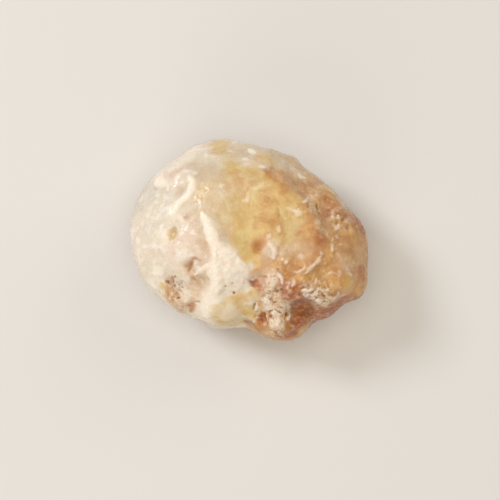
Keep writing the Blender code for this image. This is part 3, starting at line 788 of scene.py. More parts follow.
HIDDEN = (
    *marks(
        FLANK, BEIGE,
        (7.5, 0.8, 0, (60, 8.0), (96, 7.0), (120, 9.0)),
        (5.0, 0.7, 0, (250, 6.0), (270, 7.0)),
    ),
    *marks(
        FLANK, HONEY,
        (5.0, 0.9, 0, (250, 6.0), (262, 5.0)),
        (4.4, 0.85, 0, (84, 7.0), (96, 5.0)),
        (3.6, 0.8, 0, (262, 9.0), (254, 5.0)),
        (3.6, 0.7, 0, (340, 6.0), (352, 4.0)),
    ),
    *marks(
        FLANK, AMBER,
        (7.0, 1.0, 0, (286, 6.0), (302, 6.0), (322, 6.0), (342, 7.0)),
        (4.0, 0.9, 0, (278, 8.0), (290, 9.0)),
        (8.0, 0.85, 0, (352, 8.0), (20, 8.0), (44, 9.0)),
    ),
    *marks(
        FLANK, OCHRE,
        (1.8, 0.6, 0, (110, 6.0), (104, 8.0)),
        (2.0, 0.6, 0, (214, 5.0), (224, 8.0)),
    ),
    *marks(
        FLANK, RUST,
        (5.5, 0.9, 0, (306, 6.0), (322, 5.0)),
        (4.0, 1.0, 0, (300, 9.0), (312, 9.5), (324, 9.5)),
        (3.4, 0.6, 0, (12, 9.0), (24, 6.0)),
    ),
    *marks(
        FLANK, UMBER,
        (1.0, 0.6, -0.2, (118, 9.5)), (1.0, 0.55, -0.2, (176, 5.5)), (1.0, 0.6, -0.2, (228, 6.5)),
        (1.6, 0.5, -0.2, (312, 6.0), (326, 6.5)),
    ),
    *marks(
        FLANK, CHALK,
        (0.9, 0.8, 0.15, (60, 12.0), (76, 9.5), (88, 6.0)),
        (0.9, 0.8, 0.15, (150, 9.0), (166, 7.0), (184, 8.5), (200, 6.5)),
        (0.8, 0.7, 0.05, (248, 7.4), (256, 5.4), (270, 3.5)),
        (0.7, 0.6, 0.12, (20, 9.0), (6, 10.5), (354, 10.0)),
    ),
    *marks(
        FLANK, GRIT,
        (6.0, 0.7, 0, (300, 6.0), (318, 5.0)),
        (4.0, 0.6, 0, (104, 6.0), (84, 7.5)),
        (3.6, 0.7, 0, (214, 5.0), (226, 7.0)),
    ),
    *marks(UNDER, BEIGE, (8.5, 0.8, 0, (-6.0, 4.0), (4.0, 0.0), (8.0, 6.0))),
    *marks(UNDER, HONEY, (4.2, 0.7, 0, (0.0, 5.0), (-4.0, 2.0))),
    *marks(UNDER, AMBER, (6.5, 0.75, 0, (10.0, -2.0), (14.0, -6.0))),
    *marks(
        UNDER, RUST,
        (3.8, 0.8, 0, (11.0, -9.0), (7.0, -11.0)),
        (2.4, 0.6, 0, (4.4, 11.4), (1.0, 9.0)),
    ),
    *marks(
        UNDER, UMBER,
        (1.0, 0.6, -0.2, (-14.6, -1.0)),
        (1.0, 0.6, -0.2, (3.6, 11.6), (5.4, 11.0)),
    ),
    *marks(
        UNDER, CHALK,
        (1.2, 0.8, 0.15, (-12.0, 8.0), (-13.0, 3.0), (-12.0, -4.0)),
        (1.0, 0.7, 0, (-3.0, -6.0), (2.0, -3.0), (6.0, 2.0)),
    ),
    *marks(
        UNDER, GRIT,
        (4.5, 0.8, 0, (10.0, -8.0), (5.0, -12.0)),
        (4.0, 0.6, 0, (-13.0, 0.0)),
    ),
)
MARKS = (*SEEN, *HIDDEN)


# ---------------------------------------------------------------------------------------
# The finish


@dataclass(frozen=True)
class Ground:
    """A node tree being built, and what it knows of the point that it works on."""

    tree: bpy.types.NodeTree
    place: bpy.types.Node  # the point in millimetres, in bent space
    kept: dict[str, Value]  # what the stone keeps there, by the attribute's name
    clouds: tuple[bpy.types.Node, ...] = ()  # noise, from the broadest to the finest
    get: Sockets | None = None  # the tree's own inputs


@dataclass(frozen=True)
class Layer:
    """How one growth covers the layers below it."""

    growth: Growth
    colours: tuple[str, str]  # two sRGB tones that clouds blend between
    cloud: int  # which cloud frays its edge
    frayed: float  # how much the cloud counts against the mark
    start: float  # the share of the mark where it begins to show
    full: float  # and where it covers
    cover: float = 1.0  # how opaque it gets


@dataclass(frozen=True)
class OpalFinish:
    """Common opal in a weathered crust: hydrated silica, waxy where clear and chalky where dry.

    Light goes a millimetre or two into it, so that edges glow and pits stay soft, and the
    lustre is greasy: broad soft sheens, with small bright glints only on broken edges.
    """

    crust: tuple[str, str] = ("#DDD1BA", "#E2CEB9")  # greenish cream and peach
    bloom: str = "#F0E6D6"  # the whiter clouds in it
    layers: tuple[Layer, ...] = (
        Layer(BEIGE, ("#D3BE9E", "#CDB594"), 1, 0.5, 0.0, 0.95, 0.9),
        Layer(HONEY, ("#D8BE80", "#D2AF70"), 1, 0.4, 0.0, 0.95),
        Layer(AMBER, ("#D09E59", "#BE8A52"), 1, 0.7, 0.0, 0.9, 0.95),
        Layer(OCHRE, ("#B0722F", "#BF8944"), 2, 0.25, 0.0, 0.95, 0.95),
        Layer(BLUSH, ("#D8BA98", "#CAA47D"), 1, 0.5, 0.0, 0.95, 0.9),
        Layer(RUST, ("#984F22", "#B6723E"), 2, 0.6, 0.0, 1.0, 0.97),
        Layer(ASH, ("#D8D0BF", "#CEC2B0"), 1, 0.5, 0.0, 1.0, 0.85),
        Layer(CHALK, ("#F9F0DF", "#EBDAC1"), 3, 0.9, 0.05, 1.05, 0.95),
        Layer(UMBER, ("#754A25", "#8F6036"), 2, 0.5, 0.1, 0.95, 0.9),
    )
    stain: str = "#B0814F"  # the dark tint of random grains, and of hollows, where it is painted shade as well as dust
    rubbed: str = "#F0E2CC"  # what a crest is bleached to
    clouds: tuple[float, ...] = (6.5, 2.1, 0.8, 0.4)  # sizes of the clouds in millimetres
    bend_size: float = 2.6
    bend: float = 1.8
    edge_gate: float = 4.0  # one over the share of a mark from which clouds fray it in full
    # Where a cloud or a hollow starts to count, and where it counts in full.
    tones: tuple[float, float] = (0.38, 0.62)
    dark_grains: tuple[float, float] = (0.5, 0.3)
    pale_grains: tuple[float, float] = (0.54, 0.72)
    dents: tuple[float, float] = (0.1, 1.6)
    bowls: tuple[float, float] = (0.1, 1.5)
    crests: tuple[float, float, float, float] = (-0.2, -1.4, 0.0, 0.3)  # and its share at both
    # How much that does.
    grain_share: tuple[float, float] = (0.05, 0.6)  # on the crust, and where it crumbles
    grain_on_clear: float = 0.3
    shade_and_wear_share: tuple[float, float] = (0.5, 0.25)  # how much the painted shade and dust in the hollows and the rubbed crests count: what crumbly ground adds, and the crust's
    glow: tuple[float, float] = (0.1, 0.32)  # light let into the crust, and into clear opal
    amber_glow: float = 0.6  # how clear amber opal is
    wax: float = 0.24  # roughness of the clear opal
    chalky: float = 0.4  # of white opal
    dry: float = 0.55  # and of the crumbly ground
    rough_clouds: tuple[float, float] = (0.3, 0.15)  # how far a cloud changes it, and half that
    fine_height: float = 0.4  # height of the finest cloud's relief to the next one's
    bumps: tuple[float, float] = (0.4, 0.9)  # its strength on the crust, and where it crumbles
    bump_depth: float = 0.15
    ior: float = 1.45
    depth: float = 1.3  # how far red light goes in, in millimetres
    reds: tuple[float, float, float] = (1.0, 0.74, 0.45)  # and each colour's share of it

    def build(self) -> bpy.types.Material:
        """Builds the node material.

        Returns:
            The material, which reads the stone's growth attributes.
        """
        material = bpy.data.materials.new("waxy_common_opal")
        material.use_nodes = True
        tree = material.node_tree
        shader = tree.nodes["Principled BSDF"]
        spot = add(tree, "ShaderNodeTexCoord").outputs["Object"]
        place = wander(tree, spot, 1 / self.bend_size, self.bend)[1]
        cloudy = {"Vector": place, "Detail": 3.0, "Roughness": 0.55}
        clouds = tuple(add(tree, NOISE, {**cloudy, "Scale": 1 / size}) for size in self.clouds)
        kept = {
            name: add(tree, "ShaderNodeAttribute", attribute_name=name).outputs["Fac"]
            for name in (*(growth.value for growth in Growth), "hollow", "basin")
        }
        at = Ground(tree, place, kept, clouds)
        colour = self.bare(at)
        for layer in self.layers:
            if layer.growth is UMBER:
                # Random grains, then painted shade with dust in the hollows and rubbed crests, go
                # on before the umber layer.
                colour = self.worn(at, self.mottled(at, colour))
            colour = self.laid(at, colour, layer)
        tree.links.new(shown(colour.outputs), shader.inputs["Base Color"])
        self.give_lustre(at, shader)
        self.give_depth(at, shader)
        return material

    def bare(self, at: Ground) -> bpy.types.Node:
        """Colours the crust where nothing has grown on it.

        Args:
            at: the tree and its point.

        Returns:
            The node with the crust's colour.
        """
        colour = linear(self.crust[0])
        for cloud, start, end, most, tint in (
            (0, 0.42, 0.6, 1.0, self.crust[1]),
            (1, 0.48, 0.66, 0.75, self.bloom),
            (2, 0.48, 0.66, 0.25, self.bloom),
        ):
            share = add(at.tree, RANGE, (at.clouds[cloud], start, end, 0.0, most), **SMOOTH)
            colour = add(at.tree, MIX, {0: share, 6: colour, 7: linear(tint)}, **COLOURS)
        return colour

    def laid(self, at: Ground, colour: Value, layer: Layer) -> bpy.types.Node:
        """Lays one growth over the colours below it, with an edge that a cloud frays.

        Args:
            at: the tree and its point.
            colour: what lies below.
            layer: the growth's look.

        Returns:
            The node with the new colour.
        """
        tree, mask = at.tree, at.kept[layer.growth.value]
        gate = add(tree, MATH, (mask, self.edge_gate), operation="MULTIPLY", use_clamp=True)
        shift = add(tree, MATH, (at.clouds[layer.cloud], 0.5), operation="SUBTRACT")
        shift = add(tree, MATH, (shift, gate), operation="MULTIPLY")
        shaken = add(tree, MATH, (shift, layer.frayed, mask), operation="MULTIPLY_ADD")
        share = add(tree, RANGE, (shaken, layer.start, layer.full, 0.0, layer.cover), **SMOOTH)
        tone = add(tree, RANGE, (at.clouds[max(layer.cloud, 1)], *self.tones), **SMOOTH)
        low, high = map(linear, layer.colours)
        tint = add(tree, MIX, {0: tone, 6: low, 7: high}, **COLOURS)
        return add(tree, MIX, {0: share, 6: colour, 7: tint}, **COLOURS)

    def mottled(self, at: Ground, colour: Value) -> bpy.types.Node:
        """Breaks the colour up into darker and paler grains, boldest where the ground crumbles.

        Args:
            at: the tree and its point.
            colour: the colour so far.

        Returns:
            The node with the grainy colour.
        """
        bold = add(at.tree, RANGE, (at.kept["grit"], 0.0, 1.0, *self.grain_share))
        calm = add(at.tree, RANGE, (at.kept["honey"], 0.0, 1.0, 1.0, self.grain_on_clear))
        bold = add(at.tree, MATH, (bold, calm), operation="MULTIPLY")
        dark = add(at.tree, RANGE, (at.clouds[3], *self.dark_grains), **SMOOTH)
        pale = add(at.tree, RANGE, (at.clouds[2], *self.pale_grains), **SMOOTH)
        return self.tinted(at, colour, dark, pale, bold)

    def worn(self, at: Ground, colour: Value) -> bpy.types.Node:
        """Darkens the hollows with painted shade, along with the dust that stays there, and
        bleaches the crests, which are rubbed.

        Args:
            at: the tree and its point.
            colour: the colour so far.

        Returns:
            The node with the shaded and worn colour.
        """
        held = add(at.tree, MATH, (at.kept["grit"], *self.shade_and_wear_share), operation="MULTIPLY_ADD")
        dent = add(at.tree, RANGE, (at.kept["hollow"], *self.dents), **SMOOTH)
        bowl = add(at.tree, RANGE, (at.kept["basin"], *self.bowls), **SMOOTH)
        deep = add(at.tree, MATH, (dent, bowl), operation="MAXIMUM")
        crest = add(at.tree, RANGE, (at.kept["hollow"], *self.crests), **SMOOTH)
        return self.tinted(at, colour, deep, crest, held)

    def tinted(
        self, at: Ground, colour: Value, dark: Value, pale: Value, held: Value
    ) -> bpy.types.Node:
        """Darkens the colour in some places, as a stain on grains and as painted shade and dust in
        hollows, and bleaches it in others.

        Args:
            at: the tree and its point.
            colour: the colour so far.
            dark: how much it is darkened, by a stain on grains and by painted shade in hollows.
            pale: how much it is bleached.
            held: how much both count here.

        Returns:
            The node with the new colour.
        """
        for share, tone, blend in ((dark, self.stain, "MULTIPLY"), (pale, self.rubbed, "MIX")):
            share = add(at.tree, MATH, (share, held), operation="MULTIPLY")
            mixed = {0: share, 6: colour, 7: linear(tone)}
            colour = add(at.tree, MIX, mixed, blend_type=blend, **COLOURS)
        return colour

    def give_lustre(self, at: Ground, shader: bpy.types.Node) -> None:
        """Sets the gloss and the finest relief: waxy on clear opal, dry where it crumbles.

        Args:
            at: the tree and its point.
            shader: its shader.
        """
        tree, kept, clouds = at.tree, at.kept, at.clouds
        rough = self.wax
        for name, most in (("chalk", self.chalky), ("ochre", self.dry), ("grit", self.dry)):
            rough = add(tree, RANGE, (kept[name], 0.0, 1.0, rough, most))
        swing, back = self.rough_clouds
        rough = add(tree, MATH, (clouds[2], swing, rough), operation="MULTIPLY_ADD")
        rough = add(tree, MATH, (rough, back), operation="SUBTRACT", use_clamp=True)
        tree.links.new(rough.outputs[0], shader.inputs["Roughness"])
        height = (clouds[3], self.fine_height, clouds[2])
        height = add(tree, MATH, height, operation="MULTIPLY_ADD")
        strength = add(tree, RANGE, (kept["grit"], 0.0, 1.0, *self.bumps))
        raised = {"Height": height, "Strength": strength, "Distance": self.bump_depth * MM}
        bump = add(tree, "ShaderNodeBump", raised)
        tree.links.new(bump.outputs[0], shader.inputs["Normal"])
        shader.inputs["Metallic"].default_value = 0.0
        shader.inputs["IOR"].default_value = self.ior

    def give_depth(self, at: Ground, shader: bpy.types.Node) -> None:
        """Lets light into the stone, deepest in the clear opal.

        Args:
            at: the tree and its point.
            shader: its shader.
        """
        clear = add(at.tree, MATH, (at.kept["amber"], self.amber_glow), operation="MULTIPLY")
        clear = add(at.tree, MATH, (at.kept["honey"], clear), operation="MAXIMUM")
        glow = add(at.tree, RANGE, (clear, 0.0, 1.0, *self.glow))
        at.tree.links.new(glow.outputs[0], shader.inputs["Subsurface Weight"])
        shader.inputs["Subsurface Radius"].default_value = self.reds
        shader.inputs["Subsurface Scale"].default_value = self.depth * MM


@dataclass(frozen=True)
class BoardFinish:
    """Matt pale card, as specimens are laid out on: no sheen, so that the stone's stands out."""

    colour: str = "#D9D6D0"
    roughness: float = 0.9

    def build(self) -> bpy.types.Material:
        """Builds the card's material.

        Returns:
            The material.
        """
        material = bpy.data.materials.new("matt_pale_card")
        material.use_nodes = True
        shader = material.node_tree.nodes["Principled BSDF"]
        shader.inputs["Base Color"].default_value = linear(self.colour)
        shader.inputs["Roughness"].default_value = self.roughness
        return material


# ---------------------------------------------------------------------------------------
# The small relief that repeats


@dataclass(frozen=True)
class Relief:
    """Waves of one size, in millimetres, and their height on each kind of ground."""

    name: str
    size: float
    height: float
    dry_height: float
    on_clear: float  # the share of it that is left on clear opal


@dataclass(frozen=True)
class Weathering:
    """Relief under a few millimetres: waves, creases, chips, grain, and lumps where it crumbles."""

    reliefs: tuple[Relief, ...] = (
        Relief("Swell", 4.6, 0.17, 0.17, 0.6),
        Relief("Wave", 1.9, 0.12, 0.14, 0.3),
        Relief("Peel", 0.8, 0.025, 0.06, 0.3),
    )
    crease: tuple[float, float] = (3.2, 0.05)  # size and height
    lump: tuple[float, float] = (1.0, 0.22)
    chip: tuple[float, float] = (1.0, 0.05)
    grain: tuple[float, float] = (2.0, 0.08)
    grain_turn: float = -50.0  # degrees that the grain is turned from left to right
    grain_drawn: tuple[float, float, float] = (0.5, 1.0, 1.0)  # and how it is drawn out
    widths: tuple[float, float, float] = (0.1, 0.4, 0.8)  # of a crease, a ridge, a lump
    crease_seen: tuple[float, float] = (0.45, 0.65)  # where creases start, and are whole
    crease_on_clear: float = 0.2
    chip_more: tuple[float, float, float] = (0.08, 0.04, -0.2)  # on amber, grit and honey
    chip_seen: tuple[float, float] = (0.64, 0.78)
    whitened: float = 0.5  # how white a chip or crease is
    bend_scale: float = 0.35
    bend: float = 1.6
    rest: float = 1.6  # the relief fades out this close to the surface it lies on

    @property
    def sizes(self) -> Sizes:
        """The tree's inputs.

        Returns:
            Each input's name and value; a scale is one over a size.
        """
        sizes = {"Rest Height": self.rest}
        for relief in self.reliefs:
            sizes[f"{relief.name} Scale"] = 1 / relief.size
            sizes[f"{relief.name} Height"] = relief.height
            sizes[f"{relief.name} Dry Height"] = relief.dry_height
        for name in ("crease", "lump", "chip", "grain"):
            size, height = getattr(self, name)
            sizes[f"{name.title()} Scale"] = 1 / size
            sizes[f"{name.title()} Height"] = height
        return sizes

    def tree(self, material: bpy.types.Material) -> bpy.types.NodeTree:
        """Builds the Geometry Nodes tree, which raises the skin and whitens what is chipped.

        Args:
            material: what the stone is made of.

        Returns:
            The tree.
        """
        tree, get = geometry_tree("weathering", self.sizes)
        spot = add(tree, "GeometryNodeInputPosition")
        flat, place = wander(tree, spot, self.bend_scale, self.bend)
        kept = {
            growth.value: add(tree, KEPT, {"Name": growth.value})
            for growth in (BEIGE, HONEY, AMBER, GRIT, CHALK)
        }
        at = Ground(tree, place, kept, get=get)
        crease, chip = self.creases(at), self.chips(at)
        total = add(tree, MATH, (crease, get["Crease Height"]), operation="MULTIPLY")
        total = add(tree, MATH, (chip, get["Chip Height"], total), operation="MULTIPLY_ADD")
        for shape in (self.waved, self.lumpy, self.grained):
            total = shape(at, total)
        up = add(tree, "ShaderNodeSeparateXYZ", (flat,)).outputs["Z"]
        rest = add(tree, RANGE, (up, 0.0, get["Rest Height"], 0.0, MM))
        total = add(tree, MATH, (total, rest), operation="MULTIPLY")
        normal = add(tree, "GeometryNodeInputNormal")
        offset = add(tree, VECTOR, {0: normal, "Scale": total}, operation="SCALE")
        moved = add(tree, MOVE, {"Geometry": get["Stone"], "Offset": offset})
        pale = add(tree, MATH, (chip, crease), operation="MAXIMUM")
        pale = add(tree, MATH, (pale, self.whitened), operation="MULTIPLY")
        white = add(tree, MATH, (kept["chalk"], pale), operation="MAXIMUM")
        marked = add(tree, STORE, {"Geometry": moved, "Name": CHALK.value, "Value": white})
        return close_tree(tree, marked, material)

    def creases(self, at: Ground) -> bpy.types.Node:
        """Draws thin winding creases that come and go, and keep off the clear opal.

        Args:
            at: the tree and its point.

        Returns:
            The node with 1 on a crease and 0 off it.
        """
        crease = {"Vector": at.place, "Scale": at.get["Crease Scale"]}
        fold = add(at.tree, NOISE, crease, normalize=False)
        fold = add(at.tree, MATH, (fold,), operation="ABSOLUTE")
        line = add(at.tree, RANGE, (fold, 0.0, self.widths[0], 1.0, 0.0), **SMOOTH)
        seen = add(at.tree, NOISE, {"Vector": at.place, "Scale": at.get["Wave Scale"]})
        seen = add(at.tree, RANGE, (seen, *self.crease_seen))
        line = add(at.tree, MATH, (line, seen), operation="MULTIPLY")
        bare = add(at.tree, RANGE, (at.kept["honey"], 0.0, 1.0, 1.0, self.crease_on_clear))
        return add(at.tree, MATH, (line, bare), operation="MULTIPLY")

    def chips(self, at: Ground) -> bpy.types.Node:
        """Scatters small pale chips, most of them on amber opal.

        Args:
            at: the tree and its point.

        Returns:
            The node with 1 on a chip and 0 off it.
        """
        speck = add(at.tree, NOISE, {"Vector": at.place, "Scale": at.get["Chip Scale"]})
        for name, more in zip(("amber", "grit", "honey"), self.chip_more):
            speck = add(at.tree, MATH, (at.kept[name], more, speck), operation="MULTIPLY_ADD")
        return add(at.tree, RANGE, (speck, *self.chip_seen), **SMOOTH)

    def waved(self, at: Ground, total: Value) -> bpy.types.Node:
        """Adds the waves of each size to the height so far.

        Args:
            at: the tree and its point.
            total: the height so far.

        Returns:
            The node with the new height.
        """
        for relief in self.reliefs:
            of = (f"{relief.name} {end}" for end in ("Scale", "Height", "Dry Height"))
            size, low, dry = (at.get[name] for name in of)
            wave = add(at.tree, NOISE, {"Vector": at.place, "Scale": size}, normalize=False)
            height = add(at.tree, RANGE, (at.kept["grit"], 0.0, 1.0, low, dry))
            calm = add(at.tree, RANGE, (at.kept["honey"], 0.0, 1.0, 1.0, relief.on_clear))
            height = add(at.tree, MATH, (height, calm), operation="MULTIPLY")
            total = add(at.tree, MATH, (wave, height, total), operation="MULTIPLY_ADD")
        return total

    def lumpy(self, at: Ground, total: Value) -> bpy.types.Node:
        """Adds round lumps to the height where the ground crumbles.

        Args:
            at: the tree and its point.
            total: the height so far.

        Returns:
            The node with the new height.
        """
        cell = {"Vector": at.place, "Scale": at.get["Lump Scale"]}
        cell = add(at.tree, "ShaderNodeTexVoronoi", cell, feature="SMOOTH_F1")
        lump = (cell, 0.0, self.widths[2], at.get["Lump Height"], 0.0)
        lump = add(at.tree, RANGE, lump, **SMOOTH)
        return add(at.tree, MATH, (lump, at.kept["grit"], total), operation="MULTIPLY_ADD")

    def grained(self, at: Ground, total: Value) -> bpy.types.Node:
        """Adds ridges, all drawn out one way, to the height of the amber opal.

        Args:
            at: the tree and its point.
            total: the height so far.

        Returns:
            The node with the new height.
        """
        turned = {"Vector": at.place, "Angle": math.radians(self.grain_turn)}
        turned = add(at.tree, "ShaderNodeVectorRotate", turned, rotation_type="Z_AXIS")
        drawn = add(at.tree, VECTOR, (turned, self.grain_drawn), operation="MULTIPLY")
        grain = {"Vector": drawn, "Scale": at.get["Grain Scale"]}
        fold = add(at.tree, NOISE, grain, normalize=False)
        fold = add(at.tree, MATH, (fold,), operation="ABSOLUTE")
        ridge = (fold, 0.0, self.widths[1], at.get["Grain Height"], 0.0)
        ridge = add(at.tree, RANGE, ridge, **SMOOTH)
        share = (at.kept["amber"], at.kept["beige"])
        share = add(at.tree, MATH, share, operation="SUBTRACT", use_clamp=True)
        return add(at.tree, MATH, (ridge, share, total), operation="MULTIPLY_ADD")


@dataclass(frozen=True)
class Scatter:
    """What lies scattered over the stone, densest where it crumbles."""

    # The most points on a square metre, before those too close are left out, and where the
    # share of them starts and ends on the crumbly ground, with what it is there.
    dense: ClassVar[float]
    spread: ClassVar[tuple[float, ...]]
    spacing: float
    seed: int

    @property
    def sizes(self) -> Sizes:
        """The tree's inputs: the fields, with their names in words."""
        return {name.replace("_", " ").title(): value for name, value in vars(self).items()}

    def spots(self, tree: bpy.types.NodeTree, get: Sockets) -> bpy.types.Node:
        """Scatters points over the stone.

        Args:
            tree: the tree to add to.
            get: its inputs.

        Returns:
            The node with the points.
        """
        dry = add(tree, KEPT, {"Name": GRIT.value})
        spacing = add(tree, MATH, (get["Spacing"], MM), operation="MULTIPLY")
        wanted = {
            "Mesh": get["Stone"],
            "Distance Min": spacing,
            "Density Max": self.dense,
            "Density Factor": add(tree, RANGE, (dry, *self.spread)),
            "Seed": get["Seed"],
        }
        kind = "GeometryNodeDistributePointsOnFaces"
        return add(tree, kind, wanted, distribute_method="POISSON")


@dataclass(frozen=True)
class Pitting(Scatter):
    """Small pits sunk here and there, denser where it crumbles, and how hollow each point lies."""

    dense = 2.0e6
    spread = (0.0, 1.0, 0.03, 0.9)
    smallest: ClassVar[float] = 0.4  # the smallest pit's share of the largest
    deep: ClassVar[tuple[float, float]] = (0.05, 0.22)  # what counts as one, fine and broad
    spacing: float = 1.0
    seed: int = 7
    radius: float = 0.42
    depth: float = 0.13
    fine_blur: int = 5  # steps of a quarter of a millimetre
    broad_blur: int = 45

    def tree(self, material: bpy.types.Material) -> bpy.types.NodeTree:
        """Builds the Geometry Nodes tree, which sinks the pits and measures the hollows.

        Args:
            material: what the stone is made of.

        Returns:
            The tree.
        """
        tree, get = geometry_tree("pitting", self.sizes)
        spots = self.spots(tree, get).outputs["Points"]
        nearest = add(tree, "GeometryNodeSampleNearest", {"Geometry": spots})
        share = {"Min": self.smallest, "Max": 1.0, "ID": nearest, "Seed": get["Seed"]}
        share = add(tree, RANDOM, share)
        away = add(tree, "GeometryNodeProximity", (spots,), target_element="POINTS")
        away = add(tree, MATH, (away.outputs["Distance"], MM), operation="DIVIDE")
        radius = add(tree, MATH, (get["Radius"], share), operation="MULTIPLY")
        depth = add(tree, MATH, (get["Depth"], share), operation="MULTIPLY")
        depth = add(tree, MATH, (depth, -MM), operation="MULTIPLY")
        bowl = add(tree, RANGE, (away, 0.0, radius, depth, 0.0), **SMOOTH)
        normal = add(tree, "GeometryNodeInputNormal")
        offset = add(tree, VECTOR, {0: normal, "Scale": bowl}, operation="SCALE")
        made = add(tree, MOVE, {"Geometry": get["Stone"], "Offset": offset})
        blurs = (("hollow", "Fine Blur"), ("basin", "Broad Blur"))
        for (name, steps), deep in zip(blurs, self.deep):
            spot = add(tree, "GeometryNodeInputPosition")
            level = {"Value": spot, "Iterations": get[steps]}
            level = add(tree, "GeometryNodeBlurAttribute", level, data_type="FLOAT_VECTOR")
            sunk = add(tree, VECTOR, (level, spot), operation="SUBTRACT")
            sunk = add(tree, VECTOR, (sunk, normal), operation="DOT_PRODUCT")
            sunk = add(tree, MATH, (sunk, deep * MM), operation="DIVIDE")
            made = add(tree, STORE, {"Geometry": made, "Name": name, "Value": sunk})
        return close_tree(tree, made, material)


@dataclass(frozen=True)
class Crumbs(Scatter):
    """Grains of matrix that still cling to the crumbly ground."""

    dense = 8.0e6
    spread = (0.4, 1.0)
    white: ClassVar[float] = 0.6  # how white or dark a grain can be
    dent_size: ClassVar[float] = 0.9  # in half sides of a grain
    dent: ClassVar[float] = 1.1
    spacing: float = 0.55
    seed: int = 11
    least: float = 0.09  # half a grain's shortest side
    most: float = 0.22
    sunk: float = 0.03  # how deep a grain's middle lies

    def tree(self, material: bpy.types.Material) -> bpy.types.NodeTree:
        """Builds the Geometry Nodes tree, which leaves the grains alone.

        Args:
            material: what the grains are made of.

        Returns:
            The tree.
        """
        tree, get = geometry_tree("crumbs", self.sizes)
        spots = self.spots(tree, get)
        down = add(tree, MATH, (get["Sunk"], -MM), operation="MULTIPLY")
        down = add(tree, VECTOR, {0: spots.outputs["Normal"], "Scale": down}, operation="SCALE")
        sunk = add(tree, MOVE, {"Geometry": spots.outputs["Points"], "Offset": down})
        seed = get["Seed"]
        chance = add(tree, RANDOM, {"Min": -self.white, "Max": self.white, "Seed": seed})
        chalk = add(tree, KEPT, {"Name": CHALK.value})
        white = add(tree, MATH, (chance, chalk), operation="MAXIMUM")
        toned = add(tree, STORE, {"Geometry": sunk, "Name": CHALK.value, "Value": white})
        ball = add(tree, "GeometryNodeMeshIcoSphere", {"Radius": MM, "Subdivisions": 1})
        dent = add(tree, NOISE, {"Scale": self.dent_size / MM}).outputs["Color"]
        dent = add(tree, VECTOR, (dent, HALF), operation="SUBTRACT")
        dent = add(tree, VECTOR, {0: dent, "Scale": self.dent * MM}, operation="SCALE")
        grain = add(tree, MOVE, {"Geometry": ball.outputs["Mesh"], "Offset": dent})
        low, high = (
            add(tree, "ShaderNodeCombineXYZ", (get[name],) * 3) for name in ("Least", "Most")
        )
        scale = {"Min": low, "Max": high, "Seed": seed}
        scale = add(tree, RANDOM, scale, data_type="FLOAT_VECTOR")
        turn = {"Max": TURN, "Seed": seed, "ID": add(tree, "GeometryNodeInputIndex")}
        turn = add(tree, RANDOM, turn, data_type="FLOAT_VECTOR")
        grains = {"Points": toned, "Instance": grain, "Rotation": turn, "Scale": scale}
        return close_tree(tree, add(tree, "GeometryNodeInstanceOnPoints", grains), material)


# ---------------------------------------------------------------------------------------
# The stone


